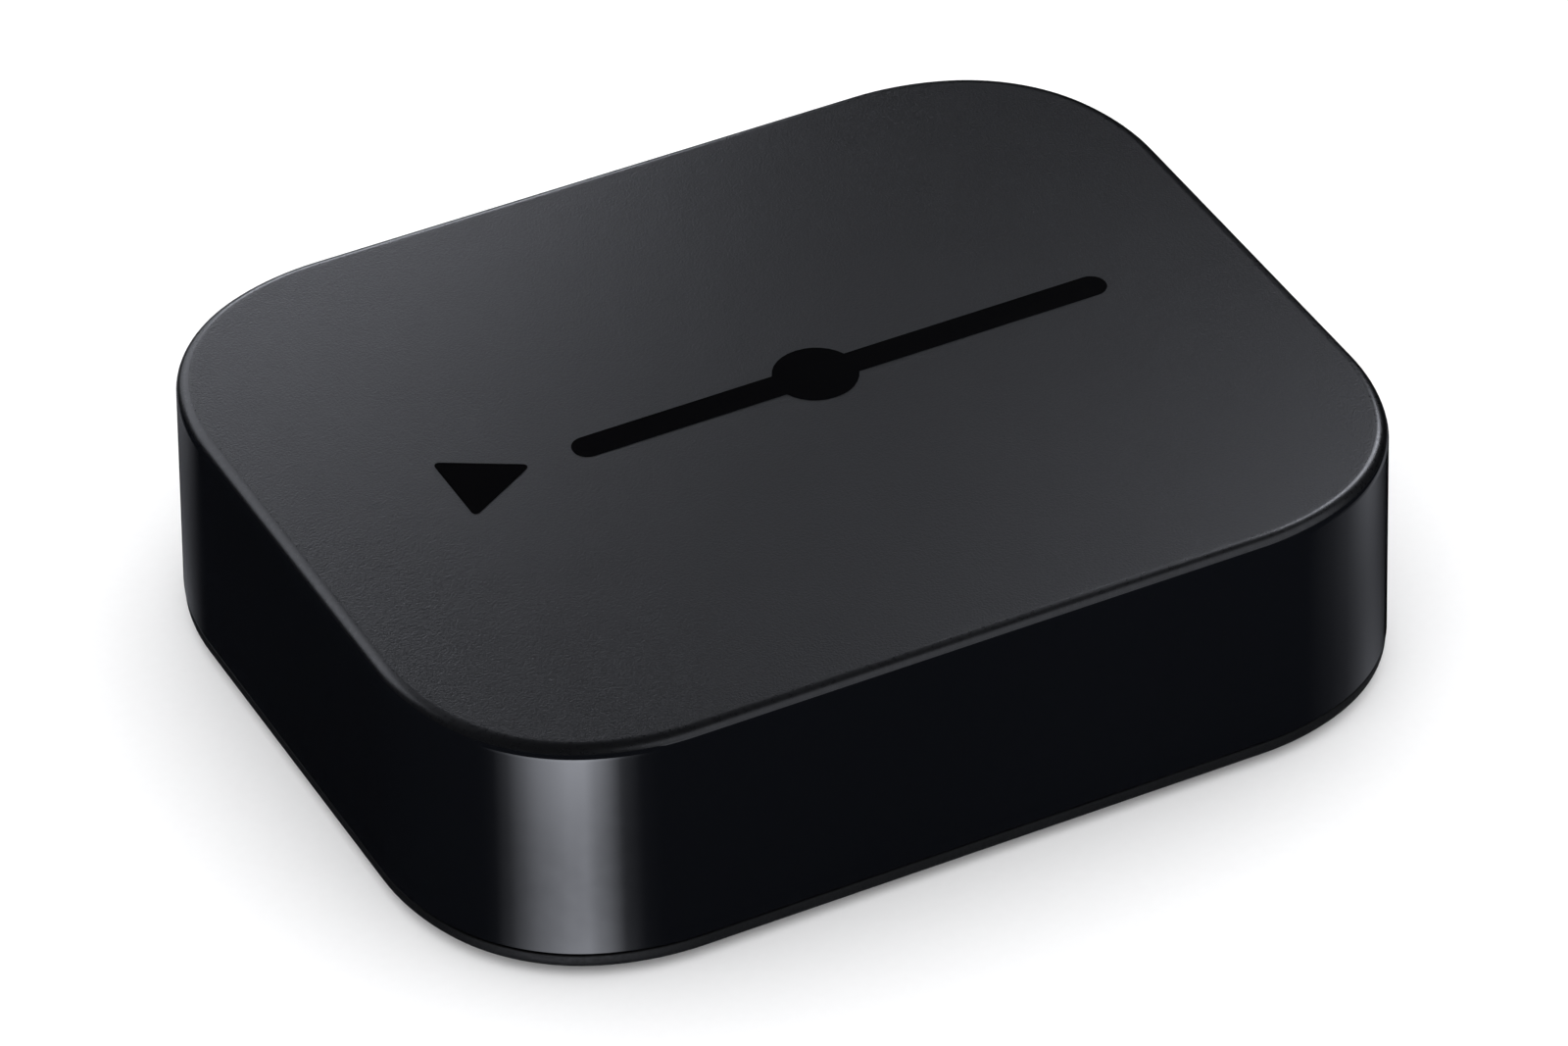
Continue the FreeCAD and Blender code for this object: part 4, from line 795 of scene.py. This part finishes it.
class PLAYER_OT_cover(bpy.types.Operator):
    """Build the bottom cover: its rounded rim, locating lip, posts, cooling slots and recesses"""
    bl_idname = "player.cover"
    bl_label = "Bottom cover"

    def execute(self, context):
        cover, case = context.scene.player_cover, context.scene.player_case
        makers = (matte_cover_abs,)
        piece = make_object("bottom_shell", self.shell(cover, case), makers)
        combine(piece, self.posts(cover, case), "UNION", makers)
        combine(piece, self.cuts(cover), "DIFFERENCE", makers)
        finish_piece(piece, "case", ["bottom_cover"])
        return {"FINISHED"}

    def shell(self, cover, case):
        """The plate, its rounded rim and the lip that stands inside the wall of the case."""
        low = COVER_LOW.z
        floor, rim_top = low + cover.plate, low + cover.rim
        lip_out = case.wall + cover.lip_gap
        lip_in, lip_top = lip_out + cover.lip, rim_top + cover.lip_height
        radius, soft, inset = cover.edge_radius, cover.rim_soft, cover.inset
        section = [(lip_in + cover.lip, floor), (lip_in, floor), (lip_in, lip_top), (lip_out, lip_top)]
        section += [(lip_out, rim_top)]
        section += arc_points((inset + soft, rim_top - soft), soft, math.pi / 2, math.pi, steps=3)
        section += arc_points((inset + radius, low + radius), radius, math.pi, 1.5 * math.pi, steps=10)
        section += [(inset + 1.4 * radius, low)]
        bm = bmesh.new()
        sweep_outline(bm, section)
        return bm

    def posts(self, cover, case):
        """The four posts that hold the board."""
        base, top, radius = COVER_LOW.z + cover.plate - BITE, COVER_HIGH.z, case.boss / 2
        bm = bmesh.new()
        add_at_screws(bm, ((0, top), (radius, top), (radius, base), (0, base)))
        return bm

    def cuts(self, cover):
        """The cutters of the cooling slots, the label's recess and the four feet with their screws."""
        low = COVER_LOW.z
        bm = bmesh.new()
        start = -cover.vent_pitch * (cover.vent_count - 1) / 2
        slot = rectangle(cover.vent_width, cover.vent_length)
        for step in range(cover.vent_count):
            place = facing_down(start + step * cover.vent_pitch, cover.vent_y, low)
            add_opening(bm, slot, cover.vent_corner, place, cover.plate + PAST, cover.soft_edge)
        _, middle, size = measure("rating_label")
        margin = cover.margin
        recess = rectangle(size.x + 2 * margin, size.y + 2 * margin)
        corner = bpy.context.scene.player_mark.label_corner + margin
        add_opening(bm, recess, corner, facing_down(middle.x, middle.y, low), cover.recess, cover.recess_edge)

        foot_low, _, foot_size = measure("foot_front_left")
        wide, deep = foot_size.x / 2 + cover.foot_gap, foot_low.z + foot_size.z
        head, shank, soft = cover.head_hole / 2, cover.shank_hole / 2, cover.soft_edge
        seat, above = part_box("case_screws")[0].z + cover.seat, COVER_HIGH.z + PAST
        profile = [(0, low - PAST), (wide + soft, low - PAST)]
        profile += arc_points((wide + soft, low + soft), soft, 1.5 * math.pi, math.pi, EDGE_STEPS)
        profile += [(wide, deep), (head, deep), (head, seat), (shank, seat), (shank, above), (0, above)]
        add_at_screws(bm, profile)
        return bm


class PLAYER_OT_feet(bpy.types.Operator):
    """Build the four rubber feet, each dished inside the ring that it stands on"""
    bl_idname = "player.feet"
    bl_label = "Feet"

    def execute(self, context):
        foot = context.scene.player_foot
        for corner in ("front_left", "front_right", "rear_left", "rear_right"):
            node = f"foot_{corner}"
            low, middle, size = measure(node)
            radius, edge = size.x / 2, foot.edge
            ring = radius - foot.ring
            profile = [(0, foot.dish), (ring - foot.slope, foot.dish), (ring, foot.dish / 6)]
            profile += [(ring + foot.land, 0)]
            profile += arc_points((radius - edge, edge), edge, 1.5 * math.pi, 2 * math.pi, steps=6)
            profile += [(radius, size.z), (0, size.z)]
            bm = bmesh.new()
            add_turned(bm, profile, Matrix.Translation((middle.x, middle.y, low.z)))
            piece = make_object(f"{node}_pad", bm, (silicone_rubber,))
            finish_piece(piece, "case", [node], 40)
        return {"FINISHED"}


class PLAYER_OT_markings(bpy.types.Operator):
    """Build the printed play-and-progress emblem on the top and the blank label underneath"""
    bl_idname = "player.markings"
    bl_label = "Emblem and label"

    def execute(self, context):
        mark = context.scene.player_mark
        low, middle, size = measure("emblem")
        # The play triangle has equal sides and is as tall as the emblem.
        side, width = size.y / 2, size.y * math.sqrt(3) / 2
        triangle = ((0, -side), (width, 0), (0, side))
        bar_start = low.x + width + mark.gap
        bar_length = low.x + size.x - bar_start
        bar, knob = rectangle(bar_length, mark.bar), rectangle(mark.knob, mark.knob)
        bar_place = (bar_start + bar_length / 2, middle.y, low.z)
        knob_place = (bar_start + mark.progress * bar_length, middle.y, low.z)
        bm, tool = bmesh.new(), bmesh.new()
        add_slab(bm, lambda grow: triangle, mark.corner, (low.x, middle.y, low.z), size.z)
        add_slab(bm, bar, ROUND_END * mark.bar, bar_place, size.z)
        add_slab(tool, knob, ROUND_END * mark.knob, knob_place, size.z)
        piece = make_object("play_emblem", bm, (printed_ink,))
        combine(piece, tool, "UNION", (printed_ink,))
        finish_piece(piece, "case", ["emblem"])

        low, middle, size = measure("rating_label")
        bm = bmesh.new()
        add_slab(bm, rectangle(size.x, size.y), mark.label_corner, (middle.x, middle.y, low.z), size.z)
        piece = make_object("blank_label", bm, (polyester_film,))
        finish_piece(piece, "case", ["rating_label"])
        return {"FINISHED"}


class PLAYER_OT_sockets(bpy.types.Operator):
    """Build the two stamped socket shells with their rolled mouths and contact springs"""
    bl_idname = "player.sockets"
    bl_label = "Socket shells"

    def execute(self, context):
        sockets = context.scene.player_socket
        for kind, sheet in (("av", sockets.av_sheet), ("power", sockets.power_sheet)):
            node = f"{kind}_socket_shell"
            _, middle, size = measure(node)
            shape, corner, _ = socket_form(kind, sockets.av_corner)
            mouth = middle.y + size.y / 2
            # The mouth is rolled: a half round from the outer face to the inner one.
            levels = [(0, -size.y)] + arc_points((-sheet / 2, -sheet / 2), sheet / 2, 0, math.pi, steps=8)
            levels += [(-sheet, -size.y)]
            bm = bmesh.new()
            rings = add_rings(bm, shape, corner, facing_rear(middle.x, mouth, middle.z), levels)
            loft(bm, rings, closed=True)
            if kind == "av":
                inner = size.z / 2 - sheet
                for sign, reach in ((1, sockets.roof_spring), (-1, sockets.floor_spring)):
                    for x in (middle.x - reach, middle.x + reach):
                        self.add_spring(bm, x, mouth, middle.z, inner, sign)
            piece = make_object(f"{kind}_shell", bm, (nickel_plate,))
            finish_piece(piece, "case", [node], 40)
        return {"FINISHED"}

    def add_spring(self, bm, x, mouth, z, inner, sign):
        """Add one contact spring, a bowed strip against the roof or the floor of the shell."""
        sockets = bpy.context.scene.player_socket
        left, start = x - sockets.spring_width / 2, mouth - sockets.spring_in
        steps = 12
        section = []
        for share in (step / steps for step in range(steps + 1)):
            level = inner - sockets.spring_rise * math.sin(math.pi * share) ** 2
            section.append((left, start - share * sockets.spring_length, z + sign * level))
        drawn = bmesh.ops.extrude_edge_only(bm, edges=add_section(bm, section))["geom"]
        move_by(bm, drawn, (sockets.spring_width, 0, 0))
        faces = [item for item in drawn if isinstance(item, bmesh.types.BMFace)]
        bmesh.ops.recalc_face_normals(bm, faces=faces)
        bmesh.ops.solidify(bm, geom=faces, thickness=sockets.spring_sheet)


class PLAYER_OT_button(bpy.types.Operator):
    """Build the reset button and the light pipe, the two small round pieces of the rear wall"""
    bl_idname = "player.button"
    bl_label = "Reset button and light pipe"

    def execute(self, context):
        self.make_pin(context.scene.player_button)
        self.make_light_guide(context.scene.player_button)
        return {"FINISHED"}

    def make_pin(self, button):
        """The reset button, a flanged pin turned about Y."""
        low, middle, size = measure("reset_button")
        pin, flange, edge = button.pin / 2, size.x / 2, button.rounding
        profile = [(0, 0), (flange, 0), (flange, button.flange), (pin, button.flange)]
        profile += arc_points((pin - edge, size.y - edge), edge, 0, math.pi / 2, steps=5)
        profile += [(0, size.y)]
        bm = bmesh.new()
        add_turned(bm, profile, facing_rear(middle.x, low.y, middle.z))
        piece = make_object("reset_pin", bm, (button_abs,))
        finish_piece(piece, "button", ["reset_button"], 40)

    def make_light_guide(self, button):
        """The light pipe: up from the light on the board, round a bend and out through the rear wall."""
        low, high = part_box("light_pipe")
        radius, bend = (high.x - low.x) / 2, button.bend
        x, y, z = low.x + radius, low.y + radius, high.z - radius
        bm = bmesh.new()
        ring = bmesh.ops.create_circle(
            bm, segments=TURN_STEPS, radius=radius, matrix=Matrix.Translation((x, y, low.z)))["verts"]
        edges = list({edge for vertex in ring for edge in vertex.link_edges})
        bmesh.ops.edgeloop_fill(bm, edges=edges)
        edges = draw_out(bm, edges, (0, 0, z - bend - low.z))
        edges = spin_edges(bm, edges, (x, y + bend, z - bend), -math.pi / 2, 12, axis=(1, 0, 0))
        edges = draw_out(bm, edges, (0, high.y - button.dome - y - bend, 0))
        # The end is a shallow dome: each step draws the ring out less and pulls it in more, and a
        # small flat is left in the middle.
        steps, turn, pull = 5, math.pi / 2, 0.9 * math.pi / 2
        centre = Matrix.Translation((-x, 0, -z))
        for step in range(steps):
            now, then = step / steps, (step + 1) / steps
            out = math.sin(turn * then) - math.sin(turn * now)
            share = math.cos(pull * then) / math.cos(pull * now)
            edges = draw_out(bm, edges, (0, button.dome * out, 0))
            bmesh.ops.scale(bm, verts=vertices_of(edges), vec=(share, 1, share), space=centre)
        bmesh.ops.edgeloop_fill(bm, edges=edges)
        piece = make_object("light_guide", bm, (moulded_acrylic,))
        finish_piece(piece, "case", ["light_pipe"], 40)


class PLAYER_OT_dome(bpy.types.Operator):
    """Build the snap dome behind the reset button, in its shape at rest; the real dome flattens as the button
    goes in
    """
    bl_idname = "player.dome"
    bl_label = "Snap dome"

    def execute(self, context):
        button = context.scene.player_button
        low, middle, size = measure("switch_dome")
        sheet = button.dome_sheet
        steps = 16
        section = []
        for share in (2 * step / steps - 1 for step in range(steps + 1)):
            bow = (size.y - sheet) * math.cos(share * math.pi / 2)
            section.append((middle.x + share * size.x / 2, low.y + bow, low.z))
        bm = bmesh.new()
        draw_out(bm, add_section(bm, section), (0, sheet, 0))
        drawn = bmesh.ops.extrude_face_region(bm, geom=bm.faces[:])["geom"]
        move_by(bm, drawn, (0, 0, size.z))
        piece = make_object("snap_dome", bm, (nickel_plate,))
        finish_piece(piece, "case", ["switch_dome"], 40)
        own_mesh(piece)
        return {"FINISHED"}


class PLAYER_OT_insides(bpy.types.Operator):
    """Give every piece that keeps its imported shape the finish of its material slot"""
    bl_idname = "player.insides"
    bl_label = "Inner pieces"

    def execute(self, context):
        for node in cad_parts.values():
            for slot in node.material_slots:
                name = slot.material.name if slot.material else None
                if name not in FINISHES:
                    raise RuntimeError(f"no finish for the slot {name} of {node.name}")
                slot.material = material_of(FINISHES[name])
        return {"FINISHED"}


# Stage

# Soft boxes that only the glossy finishes see: name, place, point aimed at, width and height in
# millimetres, and how bright they are beside the white room. The gap between the back
# left and the right ones leaves the dark band across the top.
SOFT_BOXES = (
    ("box_back_left", (33, 160, 71), (0, 0, 16), 53, 40, 6.3),
    ("box_back_right", (100, 127, 166), (0, 0, 16), 26, 30, 5.0),
    ("box_right", (91, 29, 90), (0, 0, 16), 26, 62, 8.5),
    ("box_left_edge", (-68, 140, 106), (0, 0, 16), 170, 100, 1.9),
    ("box_front_right", (180, -300, 250), (0, 0, 14), 440, 320, 1.0),
    ("box_behind", (-45, 290, 50), (0, 0, 10), 160, 60, 1.2),
)

# The reflector ring stands round the object below the level of the paper and draws the upright
# lights in the round corners: direction round from +X in degrees, and brightness there.
RING = (
    (-172, 0.0), (-165, 0.03), (-157, 0.3), (-149, 1.0), (-141, 1.85), (-133, 2.5), (-125, 3.15),
    (-117, 3.3), (-109, 2.0), (-101, 0.3), (-93, 0.03), (-86, 0.0), (-40, 0.0), (-26, 0.05),
    (-14, 0.13), (-4, 0.21), (4, 0.24), (12, 0.19), (20, 0.11), (28, 0.05), (38, 0.0), (66, 0.0),
    (76, 0.03), (88, 0.1), (98, 0.09), (106, 0.05), (112, 0.015), (116, 0.0),
)
COOL_LIGHT = (0.95, 0.98, 1.08)
RING_RADIUS = 500 * MM
RING_MIDDLE = -352 * MM
RING_TOP = -120 * MM
RING_BOTTOM = -470 * MM
RING_STEPS = 180
# Its light grows with the square of the distance from its middle level, by RING_RISE at RING_SPREAD,
# up to RING_MOST times as much.
RING_SPREAD = 20 * MM
RING_RISE = 0.85
RING_MOST = 2


class PLAYER_OT_stage(bpy.types.Operator):
    """Set the camera, the pale paper sweep, the white room and the soft boxes"""
    bl_idname = "player.stage"
    bl_label = "Stage"

    def execute(self, context):
        self.add_camera(context)
        self.add_sweep(context)
        self.add_room(context)
        for name, place, target, width, height, brightness in SOFT_BOXES:
            self.add_soft_box(context, name, place, target, width * MM, height * MM, brightness)
        self.add_ring_reflector(context)
        context.scene.view_settings.view_transform = "Standard"
        return {"FINISHED"}

    def add_camera(self, context):
        stage = context.scene.player_stage
        data = bpy.data.cameras.new("camera")
        data.lens = stage.lens
        data.sensor_width = stage.sensor
        data.clip_start = 0.01
        camera = bpy.data.objects.new("camera", data)
        flat = math.cos(stage.elevation)
        away = Vector((
            -math.sin(stage.azimuth) * flat, -math.cos(stage.azimuth) * flat, math.sin(stage.elevation)))
        turn = away.to_track_quat("Z", "Y").to_matrix().to_4x4() @ Matrix.Rotation(stage.roll, 4, "Z")
        camera.matrix_world = Matrix.Translation(Vector(stage.target) + away * stage.distance) @ turn
        context.scene.collection.objects.link(camera)
        context.scene.camera = camera

    def add_sweep(self, context):
        """Lay the paper, which the glossy finishes don't see and which is clear from below."""
        bm = bmesh.new()
        bmesh.ops.create_grid(bm, x_segments=1, y_segments=1, size=context.scene.player_stage.sweep)
        mesh = bpy.data.meshes.new("paper_sweep")
        bm.to_mesh(mesh)
        bm.free()
        material, tree, place = start_material("paper_sweep")
        fibre = grain(tree, place, 0.6 * MM)
        paper = context.scene.player_stage.floor
        matte = add_node(tree, "ShaderNodeBsdfDiffuse", {
            "Color": blend(tree, fibre, paper, tuple(0.99 * channel for channel in paper))})
        behind = add_node(tree, "ShaderNodeNewGeometry").outputs["Backfacing"]
        mix = add_node(tree, "ShaderNodeMixShader", {"Fac": behind, 1: matte.outputs[0]})
        tree.links.new(add_node(tree, "ShaderNodeBsdfTransparent").outputs[0], mix.inputs[2])
        mesh.materials.append(finish_material(material, tree, mix))
        sweep = bpy.data.objects.new("paper_sweep", mesh)
        sweep.visible_glossy = False
        context.scene.collection.objects.link(sweep)

    def add_room(self, context):
        world = bpy.data.worlds.new("white_room")
        world.use_nodes = True
        sky = world.node_tree.nodes["Background"]
        sky.inputs["Color"].default_value = (1, 1, 1, 1)
        sky.inputs["Strength"].default_value = context.scene.player_stage.sky
        world.cycles_visibility.glossy = False
        context.scene.world = world

    def add_soft_box(self, context, name, place, target, width, height, brightness):
        data = bpy.data.lights.new(name, "AREA")
        data.shape = "RECTANGLE"
        data.size = width
        data.size_y = height
        data.energy = brightness * math.pi * width * height
        data.color = COOL_LIGHT
        light = bpy.data.objects.new(name, data)
        light.location = Vector(place) * MM
        light.rotation_euler = (light.location - Vector(target) * MM).to_track_quat("Z", "Y").to_euler()
        light.visible_camera = False
        light.visible_diffuse = False
        context.scene.collection.objects.link(light)

    def add_ring_reflector(self, context):
        """Stand the ring, brighter away from its middle level, where only reflections see it."""
        bm = bmesh.new()
        spin_round(
            bm, add_section(bm, [(RING_RADIUS, 0, RING_BOTTOM), (RING_RADIUS, 0, RING_TOP)]), RING_STEPS)
        mesh = bpy.data.meshes.new("reflector_ring")
        bm.to_mesh(mesh)
        bm.free()
        material, tree, place = start_material("reflector_ring")
        round_about = add_node(
            tree, "ShaderNodeTexGradient", {"Vector": place}, gradient_type="RADIAL").outputs["Fac"]
        ramp = add_node(tree, "ShaderNodeValToRGB", {"Fac": round_about})
        peak = max(brightness for azimuth, brightness in RING)
        stops = ramp.color_ramp.elements
        while len(stops) < len(RING):
            stops.new(0.5)
        for stop, (azimuth, brightness) in zip(stops, RING):
            stop.position = azimuth / 360 + 0.5
            stop.color = (*(channel * brightness / peak for channel in COOL_LIGHT), 1)
        level = add_node(tree, "ShaderNodeSeparateXYZ", {"Vector": place}).outputs["Z"]
        off = add_node(
            tree, "ShaderNodeMath", {0: level, 1: 1 / RING_SPREAD, 2: -RING_MIDDLE / RING_SPREAD},
            operation="MULTIPLY_ADD")
        square = add_node(
            tree, "ShaderNodeMath", {0: off.outputs[0], 1: off.outputs[0]}, operation="MULTIPLY")
        rise = add_node(
            tree, "ShaderNodeMath", {0: square.outputs[0], 1: RING_RISE * peak, 2: peak},
            operation="MULTIPLY_ADD")
        most = add_node(
            tree, "ShaderNodeMath", {0: rise.outputs[0], 1: RING_MOST * peak}, operation="MINIMUM")
        glow = add_node(
            tree, "ShaderNodeEmission", {"Color": ramp.outputs["Color"], "Strength": most.outputs[0]})
        mesh.materials.append(finish_material(material, tree, glow))
        material.cycles.emission_sampling = "NONE"
        ring = bpy.data.objects.new("reflector_ring", mesh)
        for kind in ("camera", "diffuse", "transmission", "volume_scatter", "shadow"):
            setattr(ring, f"visible_{kind}", False)
        context.scene.collection.objects.link(ring)


# Add-on


OPERATORS = (
    PLAYER_OT_stage,
    PLAYER_OT_case,
    PLAYER_OT_cover,
    PLAYER_OT_feet,
    PLAYER_OT_markings,
    PLAYER_OT_sockets,
    PLAYER_OT_button,
    PLAYER_OT_dome,
    PLAYER_OT_insides,
)


class PLAYER_PT_pieces(bpy.types.Panel):
    """The pieces of the media player"""
    bl_label = "Media player"
    bl_idname = "PLAYER_PT_pieces"
    bl_space_type = "VIEW_3D"
    bl_region_type = "UI"
    bl_category = "Player"

    def draw(self, context):
        for operator in OPERATORS:
            self.layout.operator(operator.bl_idname)
        for group, kind in GROUPS.items():
            box = self.layout.box()
            for name in kind.__annotations__:
                box.prop(getattr(context.scene, group), name)


def register():
    for kind in (*GROUPS.values(), *OPERATORS, PLAYER_PT_pieces):
        bpy.utils.register_class(kind)
    for group, kind in GROUPS.items():
        setattr(bpy.types.Scene, group, bpy.props.PointerProperty(type=kind))


def unregister():
    for group in GROUPS:
        delattr(bpy.types.Scene, group)
    for kind in (PLAYER_PT_pieces, *reversed(OPERATORS), *reversed(GROUPS.values())):
        bpy.utils.unregister_class(kind)


def main():
    register()
    for operator in OPERATORS:
        category, name = operator.bl_idname.split(".")
        getattr(getattr(bpy.ops, category), name)()


if __name__ == "__main__":
    main()
